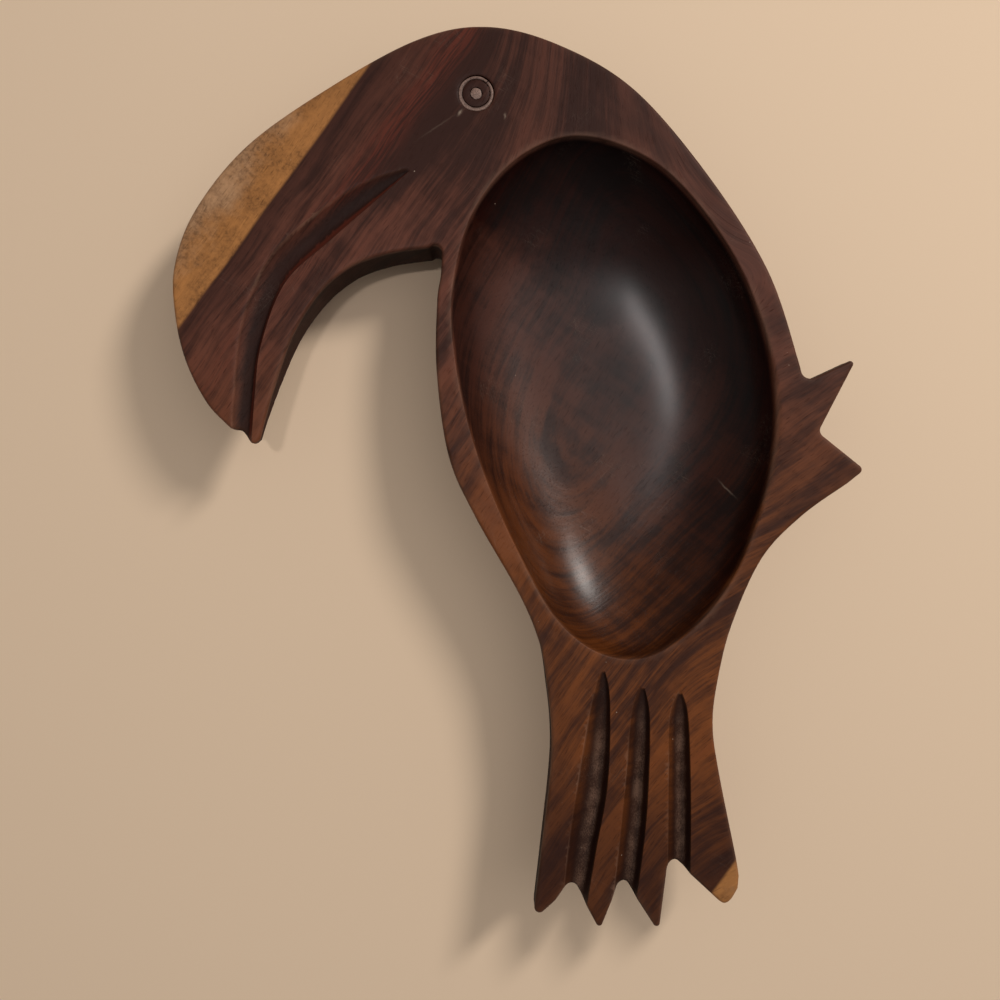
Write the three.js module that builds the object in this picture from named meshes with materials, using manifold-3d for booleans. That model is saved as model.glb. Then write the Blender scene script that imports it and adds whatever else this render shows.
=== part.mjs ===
import * as THREE from 'three';
import { mergeVertices } from 'three/addons/utils/BufferGeometryUtils.js';
import Module from 'manifold-3d';

// Carved wooden bird bowl, in millimetres, +Z up.
// A big-billed bird lies on its side, cut from one plank. Seen from above, its head is at +Y, its tail
// at -Y, its hooked bill points to -X and then back down, and its wing stands out to +X.
// The origin is on the surface that the bowl stands on, in the middle of the plan.

// Driving dimensions
const PLANK_HEIGHT = 38;
const BOWL_DEPTH = 28;
const BOWL_CENTRE = new THREE.Vector2(35, 30);
const BOWL_FLATNESS = 3;
const BOWL_WALL = 0.6;
const RIM_EASE = 0.8;
const SLAB_THICKNESS = 24;
const BILL_TIP_THICKNESS = 5;
const TAIL_TIP_THICKNESS = 10;
const WING_TIP_THICKNESS = 9;
const EDGE_EASE = 0.8;
const MOUTH_DEPTH = 5;
const MOUTH_END_DEPTH = 2;
const GROOVE_DEPTH = 4.5;
const EYE_CENTRE = new THREE.Vector2(-15.5, 144.5);
const EYE_RING_OUTER = 6.7;
const EYE_RING_WIDTH = 1.6;
const EYE_PUPIL_RADIUS = 2.3;
const EYE_SEAT_DEPTH = 4;
const INLAY_GAP = 0.3;
const CUT_OVERLAP = 1;

// Underside: the belly swells down below the bowl and fades into the underside of the head, tail and
// wing, which sweeps up towards the bill tip, the tail tips and the wing tips
const BELLY_DIP = 3;
const BELLY_POWER = 2.5;
const BELLY_BLEND = 9;
const BILL_RISE = { from: 78, to: 12, power: 1.1 };
const TAIL_RISE = { from: -40, to: -171, power: 1.2 };
const WING_RISE = { from: 90, to: 131, power: 1 };
const NECK_X = -38;

// Plan outline: each list is one smooth stretch, clockwise seen from above
const BILL_AND_BACK = [
  [-108.4, 18.3], [-117.5, 28], [-125.5, 44], [-129.5, 62], [-129.5, 80], [-121.5, 101], [-102, 125],
  [-71, 147], [-38, 165], [-12, 170], [15, 163.5], [44, 146.5], [72.5, 113.5], [95, 77.5], [106.6, 43],
];
const WING = [
  { corner: [108.4, 35.6], radius: 3.4 },
  { corner: [128.6, 45.1], radius: 1.2 },
  { corner: [113.8, 16.7], radius: 2.8 },
  { corner: [131.4, 2.6], radius: 1.8 },
];
const RIGHT_FLANK = [
  [125, -2.5], [107.5, -15], [92.5, -31], [81, -56.5], [75.5, -79], [74, -95], [76.5, -113], [82.5, -143],
  [83.8, -151],
];
const OUTER_TAIL_TIP = [[83.4, -155.5], [80.8, -159.8], [78.2, -161.3], [76, -160.1]];
const TAIL_POINTS = [
  { corner: [57.3, -142.8], radius: 3 },
  { corner: [53.5, -172.4], radius: 1.3 },
  { corner: [39.6, -150.9], radius: 2.7 },
  { corner: [31.2, -171.6], radius: 1.25 },
  { corner: [20.4, -151.6], radius: 3.4 },
  { corner: [14.5, -160.2], radius: 8 },
  { corner: [6.1, -167.7], radius: 2 },
];
const LEFT_FLANK = [
  [6.6, -161], [9.5, -138], [12.5, -112.5], [13, -97], [11.4, -80.5], [8.7, -64], [1, -45], [-16, -15],
  [-26, 8], [-30.5, 40], [-30.3, 66], [-28.9, 76], [-28.5, 83],
];
const STOP_HOLE = { centre: [-31.3, 84.6], radius: 2.8, from: -0.05, to: 0.75 };
const BILL_UNDERSIDE = [
  [-38, 86], [-50, 84], [-63.5, 79], [-75, 69], [-84.5, 54], [-90.8, 37], [-95.4, 21.5],
];
const BILL_TIP = [[-97.2, 14], [-99.2, 12.5], [-101.2, 13.2], [-103, 15.8], [-104.6, 17.4], [-107.2, 17.8]];

// Rim of the bowl, counter-clockwise seen from above
const RIM = [
  [98, 21.5], [94, 53], [79, 88], [52, 118.5], [23, 128.5], [2, 121.5], [-16, 101], [-24.5, 70],
  [-23.5, 45], [-16, 11.5], [-1, -25.5], [15.5, -54.5], [31, -66.5], [47, -68.5], [64.5, -59], [81, -39],
  [93.5, -7],
];

// Section of a gouged groove, from its soft bank (0) over its deepest line (1) to its crisp bank (2).
// The second number is the share of the depth, and -1 is above the face.
const GOUGE_PROFILE = [[0, -1], [0, 0], [0.55, 0.62], [0.92, 1], [1.15, 0.95], [2, 0], [2, -1]];
const GOUGE_START = 0.02;
const GOUGE_RUN_IN = 0.35;
const GOUGE_RUN_IN_POWER = 0.7;

// Gouged grooves: the soft bank, the deepest line and the crisp bank, from the pointed start outwards
const MOUTH = {
  depth: MOUTH_DEPTH,
  endDepth: MOUTH_END_DEPTH,
  soft: [[-38.5, 117], [-56, 112], [-75, 100.5], [-94.5, 82], [-104.5, 58], [-107.5, 31], [-108.5, 10]],
  deep: [[-38.5, 117], [-52, 108], [-71, 94], [-89, 76], [-98.5, 50], [-101.5, 27], [-103, 8]],
  crisp: [[-38.5, 117], [-51, 106], [-71, 88.5], [-87.5, 73], [-96.5, 50], [-99, 30], [-100.5, 8]],
};
const TAIL_GROOVES = [
  {
    depth: GROOVE_DEPTH,
    endDepth: GROOVE_DEPTH,
    soft: [[32.5, -71.5], [28, -84.5], [22.5, -115], [18.5, -143], [15.5, -176]],
    deep: [[32.5, -71.5], [33.5, -86], [32, -115], [27, -143], [21.5, -176]],
    crisp: [[32.5, -71.5], [35, -84], [34.3, -115], [29.5, -143], [24, -176]],
  },
  {
    depth: GROOVE_DEPTH,
    endDepth: GROOVE_DEPTH,
    soft: [[47.5, -78], [43, -88], [40.5, -115.5], [38, -140], [34, -176]],
    deep: [[47.5, -78], [48.2, -90], [47.5, -115], [45.5, -140], [40.5, -176]],
    crisp: [[47.5, -78], [50, -90], [49.7, -115], [47.7, -140], [42.5, -176]],
  },
  {
    depth: GROOVE_DEPTH,
    endDepth: GROOVE_DEPTH,
    soft: [[61.5, -80], [57.3, -90], [56.7, -115], [56.5, -140], [55.5, -176]],
    deep: [[61.5, -80], [62.5, -92], [63.2, -115], [63.3, -140], [62.5, -176]],
    crisp: [[61.5, -80], [64.5, -90], [65.5, -115], [65.5, -140], [64.8, -176]],
  },
];

// Step counts
const SPAN_STEPS = 4;
const CORNER_STEPS = 6;
const RIM_STEPS = 16;
const BOWL_SIDES = 84;
const BOWL_RINGS = 16;
const EYE_SIDES = 36;
const GOUGE_STATIONS = 16;
const UNDERSIDE_CELL = 6.5;

const wasm = await Module();
wasm.setup();

const vectors = (points) => points.map(([x, y]) => new THREE.Vector2(x, y));

// Solid of the boolean library from a closed three.js geometry
function solidFrom(geometry) {
  const bare = geometry.index ? geometry.toNonIndexed() : geometry.clone();
  bare.deleteAttribute('normal');
  bare.deleteAttribute('uv');
  const merged = mergeVertices(bare, 1e-4);
  return new wasm.Manifold(new wasm.Mesh({
    numProp: 3,
    vertProperties: new Float32Array(merged.attributes.position.array),
    triVerts: new Uint32Array(merged.index.array),
  }));
}

function geometryFrom(solid) {
  const mesh = solid.getMesh();
  const geometry = new THREE.BufferGeometry();
  geometry.setAttribute('position', new THREE.BufferAttribute(new Float32Array(mesh.vertProperties), 3));
  geometry.setIndex(new THREE.BufferAttribute(new Uint32Array(mesh.triVerts), 1));
  geometry.computeVertexNormals();
  return geometry;
}

// Closed skin over a row of rings that all have the same number of points
function loft(rings) {
  const count = rings[0].length;
  const position = [];
  const index = [];
  rings.forEach((ring) => ring.forEach((point) => position.push(point.x, point.y, point.z)));
  for (let r = 0; r < rings.length - 1; r += 1) {
    for (let i = 0; i < count; i += 1) {
      const a = r * count + i;
      const b = r * count + (i + 1) % count;
      index.push(a, b, b + count, a, b + count, a + count);
    }
  }
  const last = (rings.length - 1) * count;
  for (let i = 1; i < count - 1; i += 1) {
    index.push(0, i + 1, i);
    index.push(last, last + i, last + i + 1);
  }
  const geometry = new THREE.BufferGeometry();
  geometry.setAttribute('position', new THREE.Float32BufferAttribute(position, 3));
  geometry.setIndex(index);
  return geometry;
}

// Smooth run through all the given points
function smooth(points) {
  return new THREE.SplineCurve(vectors(points)).getPoints((points.length - 1) * SPAN_STEPS);
}

// Corners between two points, each rounded by an arc of its radius
function roundedCorners(from, corners, to) {
  const [before, ...rest] = vectors([from, ...corners.map(({ corner }) => corner), to]);
  const points = [];
  let last = before;
  corners.forEach(({ radius }, i) => {
    const corner = rest[i];
    const back = last.clone().sub(corner).normalize();
    const ahead = rest[i + 1].clone().sub(corner).normalize();
    const half = Math.acos(back.dot(ahead)) / 2;
    const centre = back.clone().add(ahead).setLength(radius / Math.sin(half)).add(corner);
    const start = back.multiplyScalar(radius / Math.tan(half)).add(corner);
    const end = ahead.multiplyScalar(radius / Math.tan(half)).add(corner);
    const clockwise = start.clone().sub(last).cross(end.clone().sub(start)) < 0;
    const arc = new THREE.EllipseCurve(
      centre.x, centre.y, radius, radius,
      start.clone().sub(centre).angle(), end.clone().sub(centre).angle(), clockwise,
    );
    points.push(...arc.getPoints(CORNER_STEPS));
    last = end;
  });
  return points;
}

function stopHole({ centre, radius, from, to }) {
  const arc = new THREE.EllipseCurve(...centre, radius, radius, from * Math.PI, to * Math.PI);
  return arc.getPoints(CORNER_STEPS);
}

function planOutline() {
  return new THREE.Shape([
    ...smooth(BILL_AND_BACK),
    ...roundedCorners(BILL_AND_BACK.at(-1), WING, RIGHT_FLANK[0]),
    ...smooth(RIGHT_FLANK),
    ...smooth(OUTER_TAIL_TIP),
    ...roundedCorners(OUTER_TAIL_TIP.at(-1), TAIL_POINTS, LEFT_FLANK[0]),
    ...smooth(LEFT_FLANK),
    ...stopHole(STOP_HOLE),
    ...smooth(BILL_UNDERSIDE),
    ...smooth(BILL_TIP),
  ]);
}

// Distance from the bowl's centre to its rim, for any direction in the plan
const rimKnots = RIM.map(([x, y]) => new THREE.Vector3(x, y, 0));
const rimLoop = new THREE.CatmullRomCurve3(rimKnots, true, 'centripetal');
const rimArms = rimLoop.getPoints(RIM.length * RIM_STEPS).slice(0, -1).map((point) => {
  const arm = new THREE.Vector2(point.x, point.y).sub(BOWL_CENTRE);
  return { angle: Math.atan2(arm.y, arm.x), reach: arm.length() };
}).sort((a, b) => a.angle - b.angle);
const fullTurn = 2 * Math.PI;
rimArms.unshift({ ...rimArms.at(-1), angle: rimArms.at(-1).angle - fullTurn });
rimArms.push({ ...rimArms[1], angle: rimArms[1].angle + fullTurn });

function rimReach(angle) {
  const next = rimArms.findIndex((arm) => arm.angle > angle);
  const [low, high] = [rimArms[next - 1], rimArms[next]];
  return THREE.MathUtils.mapLinear(angle, low.angle, high.angle, low.reach, high.reach);
}

// Share of the way from the bowl's centre to its rim: 1 on the rim
function rimShare(x, y) {
  const arm = new THREE.Vector2(x, y).sub(BOWL_CENTRE);
  return arm.length() / rimReach(Math.atan2(arm.y, arm.x));
}

function rise(value, { from, to, power }, height) {
  const share = THREE.MathUtils.clamp((value - from) / (to - from), 0, 1);
  return height * share ** power;
}

function softMinimum(a, b, blend) {
  const overlap = Math.max(blend - Math.abs(a - b), 0) / blend;
  return Math.min(a, b) - overlap * overlap * blend / 4;
}

function undersideHeight(x, y) {
  const slab = PLANK_HEIGHT - SLAB_THICKNESS
    + (x < NECK_X ? rise(y, BILL_RISE, SLAB_THICKNESS - BILL_TIP_THICKNESS) : 0)
    + rise(y, TAIL_RISE, SLAB_THICKNESS - TAIL_TIP_THICKNESS)
    + rise(x, WING_RISE, SLAB_THICKNESS - WING_TIP_THICKNESS);
  const swell = PLANK_HEIGHT - SLAB_THICKNESS + BELLY_DIP;
  const belly = swell * rimShare(x, y) ** BELLY_POWER - BELLY_DIP;
  return softMinimum(slab, belly, BELLY_BLEND);
}

// Everything above the underside, as one block with a carved lower face
function blockAboveUnderside(bounds) {
  const columns = Math.ceil((bounds.max.x - bounds.min.x) / UNDERSIDE_CELL) + 2;
  const rows = Math.ceil((bounds.max.y - bounds.min.y) / UNDERSIDE_CELL) + 2;
  const middle = bounds.getCenter(new THREE.Vector2());
  const sheet = new THREE.BoxGeometry(
    columns * UNDERSIDE_CELL, rows * UNDERSIDE_CELL, 1, columns, rows, 1);
  const position = sheet.attributes.position;
  for (let i = 0; i < position.count; i += 1) {
    const x = position.getX(i) + middle.x;
    const y = position.getY(i) + middle.y;
    const z = position.getZ(i) < 0 ? undersideHeight(x, y) : PLANK_HEIGHT + CUT_OVERLAP;
    position.setXYZ(i, x, y, z);
  }
  return sheet;
}

// Bowl: a revolved hollow, stretched from a circle to the rim, which is eased at the top face
function bowlHollow() {
  const profile = [new THREE.Vector2(0, -BOWL_DEPTH)];
  for (let ring = 1; ring <= BOWL_RINGS; ring += 1) {
    const share = Math.sin((ring / BOWL_RINGS) * Math.PI / 2);
    const depth = BOWL_DEPTH * (1 - share ** BOWL_FLATNESS) ** BOWL_WALL;
    profile.push(new THREE.Vector2(share, -Math.max(depth, RIM_EASE)));
  }
  profile.push(new THREE.Vector2(1, 0));
  profile.push(new THREE.Vector2(1, CUT_OVERLAP));
  profile.push(new THREE.Vector2(0, CUT_OVERLAP));
  const hollow = new THREE.LatheGeometry(profile, BOWL_SIDES);
  hollow.rotateX(Math.PI / 2);
  const position = hollow.attributes.position;
  for (let i = 0; i < position.count; i += 1) {
    const share = Math.hypot(position.getX(i), position.getY(i));
    const angle = Math.atan2(position.getY(i), position.getX(i));
    const ease = position.getZ(i) > -RIM_EASE / 2 ? RIM_EASE : 0;
    const reach = share * (rimReach(angle) + ease);
    position.setXYZ(
      i,
      BOWL_CENTRE.x + reach * Math.cos(angle),
      BOWL_CENTRE.y + reach * Math.sin(angle),
      PLANK_HEIGHT + position.getZ(i),
    );
  }
  return hollow;
}

// Gouged groove: pointed and shallow where it starts, at full depth after its run-in
function gougeCutter({ depth, endDepth, soft, deep, crisp }) {
  const [bank, floor, wall] = [soft, deep, crisp].map((points) => new THREE.SplineCurve(vectors(points)));
  const rings = [];
  for (let station = 0; station <= GOUGE_STATIONS; station += 1) {
    const along = THREE.MathUtils.lerp(GOUGE_START, 1, station / GOUGE_STATIONS);
    const [left, middle, right] = [bank, floor, wall].map((line) => line.getPointAt(along));
    const full = THREE.MathUtils.lerp(depth, endDepth, along);
    const cut = full * Math.min(1, along / GOUGE_RUN_IN) ** GOUGE_RUN_IN_POWER;
    rings.push(GOUGE_PROFILE.map(([across, down]) => {
      const [from, to] = across < 1 ? [left, middle] : [middle, right];
      const place = from.clone().lerp(to, across < 1 ? across : across - 1);
      const height = down < 0 ? CUT_OVERLAP : -cut * down;
      return new THREE.Vector3(place.x, place.y, PLANK_HEIGHT + height);
    }));
  }
  return loft(rings);
}

// Ring with flat ends between two heights
function ring(inner, outer, bottom, top) {
  const profile = [[inner, bottom], [outer, bottom], [outer, top], [inner, top], [inner, bottom]];
  return new THREE.LatheGeometry(vectors(profile), EYE_SIDES).rotateX(Math.PI / 2);
}

// Round peg with flat ends between two heights
function peg(radius, bottom, top) {
  const profile = [[0, bottom], [radius, bottom], [radius, top], [0, top]];
  return new THREE.LatheGeometry(vectors(profile), EYE_SIDES).rotateX(Math.PI / 2);
}

function atEye(geometry) {
  return geometry.translate(EYE_CENTRE.x, EYE_CENTRE.y, 0);
}

function carvedBody() {
  const outline = planOutline();
  const bounds = new THREE.Box2().setFromPoints(outline.getPoints());
  const plank = new THREE.ExtrudeGeometry(outline, {
    depth: PLANK_HEIGHT - 2 * EDGE_EASE,
    bevelThickness: EDGE_EASE,
    bevelSize: EDGE_EASE,
    bevelOffset: -EDGE_EASE,
    bevelSegments: 2,
  });
  plank.translate(0, 0, EDGE_EASE);
  let body = solidFrom(plank).intersect(solidFrom(blockAboveUnderside(bounds)));
  const seatFloor = PLANK_HEIGHT - EYE_SEAT_DEPTH;
  const seatTop = PLANK_HEIGHT + CUT_OVERLAP;
  const ringInner = EYE_RING_OUTER - EYE_RING_WIDTH;
  const cutters = [
    bowlHollow(),
    gougeCutter(MOUTH),
    ...TAIL_GROOVES.map(gougeCutter),
    atEye(ring(ringInner - INLAY_GAP, EYE_RING_OUTER + INLAY_GAP, seatFloor, seatTop)),
    atEye(peg(EYE_PUPIL_RADIUS + INLAY_GAP, seatFloor, seatTop)),
  ];
  cutters.forEach((cutter) => {
    body = body.subtract(solidFrom(cutter));
  });
  return geometryFrom(body);
}

function eyeRing() {
  const inner = EYE_RING_OUTER - EYE_RING_WIDTH;
  const bottom = PLANK_HEIGHT - EYE_SEAT_DEPTH + INLAY_GAP;
  return atEye(ring(inner, EYE_RING_OUTER, bottom, PLANK_HEIGHT));
}

function eyePupil() {
  const bottom = PLANK_HEIGHT - EYE_SEAT_DEPTH + INLAY_GAP;
  return atEye(peg(EYE_PUPIL_RADIUS, bottom, PLANK_HEIGHT));
}

const heartwood = new THREE.MeshStandardMaterial({ color: 0x3c2a26, roughness: 0.42, metalness: 0 });
const paleRing = new THREE.MeshStandardMaterial({ color: 0x7d6c5c, roughness: 0.6, metalness: 0 });
const palePeg = new THREE.MeshStandardMaterial({ color: 0x846f5c, roughness: 0.65, metalness: 0 });

function piece(name, geometry, material) {
  const mesh = new THREE.Mesh(geometry, material);
  mesh.name = name;
  return mesh;
}

const birdBowl = new THREE.Group();
birdBowl.add(
  piece('carved_body', carvedBody(), heartwood),
  piece('eye_ring', eyeRing(), paleRing),
  piece('eye_pupil', eyePupil(), palePeg),
);

export default birdBowl;
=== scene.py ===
"""Looks of a carved wooden bird bowl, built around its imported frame.

Lengths in the classes are millimetres in the frame's own axes, and meshes are made in metres.
"""

import logging
import math
from collections.abc import Sequence
from dataclasses import dataclass, field
from enum import Enum
from typing import ClassVar

import bmesh
import bpy
import numpy as np
from mathutils import Euler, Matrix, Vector
from mathutils.bvhtree import BVHTree
from mathutils.geometry import delaunay_2d_cdt


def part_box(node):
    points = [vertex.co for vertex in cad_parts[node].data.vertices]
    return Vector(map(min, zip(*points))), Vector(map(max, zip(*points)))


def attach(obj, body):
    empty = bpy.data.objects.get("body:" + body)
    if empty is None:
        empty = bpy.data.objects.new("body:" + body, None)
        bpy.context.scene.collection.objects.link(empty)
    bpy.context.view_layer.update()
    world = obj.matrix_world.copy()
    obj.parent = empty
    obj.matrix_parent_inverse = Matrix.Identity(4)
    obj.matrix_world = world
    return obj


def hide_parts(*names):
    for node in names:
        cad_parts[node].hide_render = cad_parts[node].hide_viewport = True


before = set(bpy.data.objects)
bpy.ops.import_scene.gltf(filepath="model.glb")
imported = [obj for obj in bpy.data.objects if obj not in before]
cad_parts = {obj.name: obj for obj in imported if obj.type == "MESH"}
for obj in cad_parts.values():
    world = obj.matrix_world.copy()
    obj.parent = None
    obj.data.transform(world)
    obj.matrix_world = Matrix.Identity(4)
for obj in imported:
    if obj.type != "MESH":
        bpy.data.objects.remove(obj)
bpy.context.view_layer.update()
LOG = logging.getLogger("bird_bowl")
MM = 0.001
Pair = tuple[float, float]
Triple = tuple[float, float, float]
Face = tuple[int, ...]
Part = tuple[np.ndarray, Sequence[Face]]
EYE: Pair = (-15.5, 144.5)


class Node(Enum):
    """The frame's nodes that this scene gives a finer shape."""

    BODY = "carved_body"
    RING = "eye_ring"
    PUPIL = "eye_pupil"


class Slot(Enum):
    """Material slot names."""

    HEARTWOOD = "heartwood"
    INLAY = "pale_inlay"


class Mark(Enum):
    """Vertex values that a finish reads from a mesh."""

    EDGE = "edge"
    BOWL = "bowl"
    GROOVE = "groove"
    FLOOR = "groove_floor"
    SAWN = "sawn"
    CRISP = "crisp_bank"


def span(
    start: np.ndarray, end: np.ndarray, leave: np.ndarray, arrive: np.ndarray, steps: int
) -> np.ndarray:
    """Points along a smooth span between two knots.

    Args:
        start: first knot.
        end: last knot, which is left out.
        leave: slope at the first knot.
        arrive: slope at the last knot.
        steps: number of points.

    Returns:
        Rows of coordinates.
    """
    t = np.linspace(0, 1, steps, endpoint=False)[:, None]
    rise = 3 * t**2 - 2 * t**3
    return (1 - rise) * start + rise * end + (t**3 - 2 * t**2 + t) * leave + (t**3 - t**2) * arrive


def spline(points: Sequence[Pair], spacing: float) -> np.ndarray:
    """Smooth run through all the given points.

    Args:
        points: what the run passes through, its ends included.
        spacing: longest step along it.

    Returns:
        The run as rows of x and y.
    """
    knots = np.asarray(points, float)
    padded = np.vstack([knots[:1], knots, knots[-1:]])
    spans = []
    for before, start, end, after in zip(padded, padded[1:], padded[2:], padded[3:]):
        steps = max(3, math.ceil(np.linalg.norm(end - start) / spacing))
        spans.append(span(start, end, (end - before) / 2, (after - start) / 2, steps))
    return np.vstack([*spans, knots[-1:]])


def evenly(points: np.ndarray, shares: np.ndarray) -> np.ndarray:
    """Places along a run.

    Args:
        points: the run as rows of x and y.
        shares: how far along it, from 0 to 1 by length.

    Returns:
        One row of x and y for each share.
    """
    steps = np.linalg.norm(np.diff(points, axis=0), axis=1)
    along = np.concatenate([[0], np.cumsum(steps)])
    along /= along[-1]
    return np.column_stack([np.interp(shares, along, points[:, axis]) for axis in range(2)])


def arc(centre: Sequence[float], radius: float, start: float, sweep: float, steps: int) -> np.ndarray:
    """Points of an arc as rows of x and y, both ends included, with angles in radians."""
    angles = start + np.linspace(0, sweep, steps + 1)
    return np.array(centre) + radius * np.column_stack([np.cos(angles), np.sin(angles)])


def smoothstep(value: np.ndarray, low: float, high: float) -> np.ndarray:
    """Soft rise from 0 at low to 1 at high."""
    t = np.clip((value - low) / (high - low), 0, 1)
    return t * t * (3 - 2 * t)


def bump(value: np.ndarray, middle: float, width: float) -> np.ndarray:
    """Bell of height 1 round a middle value."""
    return np.exp(-(((value - middle) / width) ** 2))


def wrapped(angle: np.ndarray | float) -> np.ndarray | float:
    """The same angle between minus and plus half a turn."""
    return (angle + math.pi) % (2 * math.pi) - math.pi


def band_faces(rows: int, count: int, closed: bool = True) -> list[Face]:
    """Four-cornered faces between neighbouring rows of points.

    Args:
        rows: number of rows.
        count: number of points in each row.
        closed: whether each row runs on to its first point.

    Returns:
        The corners of each face, as indices into the rows laid end to end.
    """
    return [
        (r * count + i, r * count + (i + 1) % count, (r + 1) * count + (i + 1) % count, (r + 1) * count + i)
        for r in range(rows - 1) for i in range(count if closed else count - 1)
    ]


@dataclass(frozen=True)
class Corner:
    """A corner of the plan outline, rounded by an arc."""

    place: Pair
    radius: float


@dataclass(frozen=True)
class Outline:
    """Plan outline of the bird, from the bill tip clockwise round the back, wing, tail and notch."""

    spacing: float = 1.1
    corner_steps: int = 9
    bill_and_back: tuple[Pair, ...] = (
        (-108.4, 18.3), (-117.5, 28), (-125.5, 44), (-129.5, 62), (-129.5, 80), (-121.5, 101),
        (-102, 125), (-71, 147), (-38, 165), (-12, 170), (15, 163.5), (44, 146.5), (72.5, 113.5),
        (95, 77.5), (106.6, 43),
    )
    wing: tuple[Corner, ...] = (
        Corner((108.4, 35.6), 3.4), Corner((128.6, 45.1), 1.2), Corner((113.8, 16.7), 2.8),
        Corner((131.4, 2.6), 1.8),
    )
    right_flank: tuple[Pair, ...] = (
        (125, -2.5), (107.5, -15), (92.5, -31), (81, -56.5), (75.5, -79), (74, -95), (76.5, -113),
        (82.5, -143), (83.8, -151),
    )
    outer_tail_tip: tuple[Pair, ...] = ((83.4, -155.5), (80.8, -159.8), (78.2, -161.3), (76, -160.1))
    tail_points: tuple[Corner, ...] = (
        Corner((57.3, -142.8), 3), Corner((53.5, -172.4), 1.3), Corner((39.6, -150.9), 2.7),
        Corner((31.2, -171.6), 1.25), Corner((20.4, -151.6), 3.4), Corner((14.5, -160.2), 8),
        Corner((6.1, -167.7), 2),
    )
    left_flank: tuple[Pair, ...] = (
        (6.6, -161), (9.5, -138), (12.5, -112.5), (13, -97), (11.4, -80.5), (8.7, -64), (1, -45),
        (-16, -15), (-26, 8), (-30.5, 40), (-30.3, 66), (-28.9, 76), (-28.5, 83),
    )
    stop_hole: Pair = (-31.3, 84.6)
    stop_hole_radius: float = 2.8
    stop_hole_turn: Pair = (-0.05, 0.75)
    bill_underside: tuple[Pair, ...] = (
        (-38, 86), (-50, 84), (-63.5, 79), (-75, 69), (-84.5, 54), (-90.8, 37), (-95.4, 21.5),
    )
    bill_tip: tuple[Pair, ...] = (
        (-97.2, 14), (-99.2, 12.5), (-101.2, 13.2), (-103, 15.8), (-104.6, 17.4), (-107.2, 17.8),
    )

    def rounded(self, start: Pair, corners: Sequence[Corner], end: Pair) -> np.ndarray:
        """Corners between two points, each rounded by its arc.

        Args:
            start: the point before the first corner.
            corners: the corners in order.
            end: the point after the last corner.

        Returns:
            Rows of x and y.
        """
        places = [np.array(p, float) for p in (start, *(c.place for c in corners), end)]
        last, rows = places[0], []
        for corner, place, following in zip(corners, places[1:], places[2:]):
            back, ahead = last - place, following - place
            back, ahead = back / np.linalg.norm(back), ahead / np.linalg.norm(ahead)
            half = math.acos(float(back @ ahead)) / 2
            middle = (back + ahead) / np.linalg.norm(back + ahead)
            centre = place + middle * corner.radius / math.sin(half)
            first = place + back * corner.radius / math.tan(half)
            last = place + ahead * corner.radius / math.tan(half)
            begin, stop = (math.atan2(*(p - centre)[::-1]) for p in (first, last))
            rows.append(arc(centre, corner.radius, begin, wrapped(stop - begin), self.corner_steps))
        return np.vstack(rows)

    def points(self) -> np.ndarray:
        """The whole outline, counter-clockwise.

        Returns:
            Rows of x and y, no further apart than the spacing.
        """
        low, high = (turn * math.pi for turn in self.stop_hole_turn)
        rough = np.vstack([
            spline(self.bill_and_back, self.spacing),
            self.rounded(self.bill_and_back[-1], self.wing, self.right_flank[0]),
            spline(self.right_flank, self.spacing),
            spline(self.outer_tail_tip, self.spacing),
            self.rounded(self.outer_tail_tip[-1], self.tail_points, self.left_flank[0]),
            spline(self.left_flank, self.spacing),
            arc(self.stop_hole, self.stop_hole_radius, low, high - low, self.corner_steps),
            spline(self.bill_underside, self.spacing),
            spline(self.bill_tip, self.spacing),
        ])[::-1]
        rows = []
        for here, following in zip(rough, np.roll(rough, -1, axis=0)):
            parts = max(1, math.ceil(np.linalg.norm(following - here) / self.spacing))
            rows += [here + (following - here) * k / parts for k in range(parts)]
        return np.array(rows)


@dataclass(frozen=True)
class Rim:
    """Rim of the bowl, as a closed smooth loop round the bowl's centre."""

    centre: Pair = (35, 30)
    steps: int = 24
    knots: tuple[Pair, ...] = (
        (98, 21.5), (94, 53), (79, 88), (52, 118.5), (23, 128.5), (2, 121.5), (-16, 101), (-24.5, 70),
        (-23.5, 45), (-16, 11.5), (-1, -25.5), (15.5, -54.5), (31, -66.5), (47, -68.5), (64.5, -59),
        (81, -39), (93.5, -7),
    )

    def loop(self) -> np.ndarray:
        """The rim, with centripetal spacing between its knots.

        Returns:
            Rows of x and y.
        """
        knots = np.array(self.knots, float)
        rows = []
        for i in range(len(knots)):
            before, start, end, after = run = [knots[(i + k) % len(knots)] for k in (-1, 0, 1, 2)]
            first, middle, last = (math.sqrt(np.linalg.norm(b - a)) for a, b in zip(run, run[1:]))
            leave = (start - before) / first - (end - before) / (first + middle) + (end - start) / middle
            arrive = (end - start) / middle - (after - start) / (middle + last) + (after - end) / last
            rows.append(span(start, end, leave * middle, arrive * middle, self.steps))
        return np.vstack(rows)

    def polar(self, plan: np.ndarray) -> tuple[np.ndarray, np.ndarray]:
        """Direction and distance of points from the bowl's centre."""
        arms = plan - np.array(self.centre)
        return np.arctan2(arms[:, 1], arms[:, 0]), np.linalg.norm(arms, axis=1)

    def reach(self, angles: np.ndarray) -> np.ndarray:
        """Distance from the bowl's centre to its rim.

        Args:
            angles: directions in the plan, in radians.

        Returns:
            One distance for each direction.
        """
        turned, lengths = self.polar(self.loop())
        order = np.argsort(turned)
        return np.interp(angles, turned[order], lengths[order], period=2 * math.pi)

    def share(self, plan: np.ndarray) -> np.ndarray:
        """Share of the way from the bowl's centre to its rim: 1 on the rim."""
        angles, lengths = self.polar(plan)
        return lengths / self.reach(angles)


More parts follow.
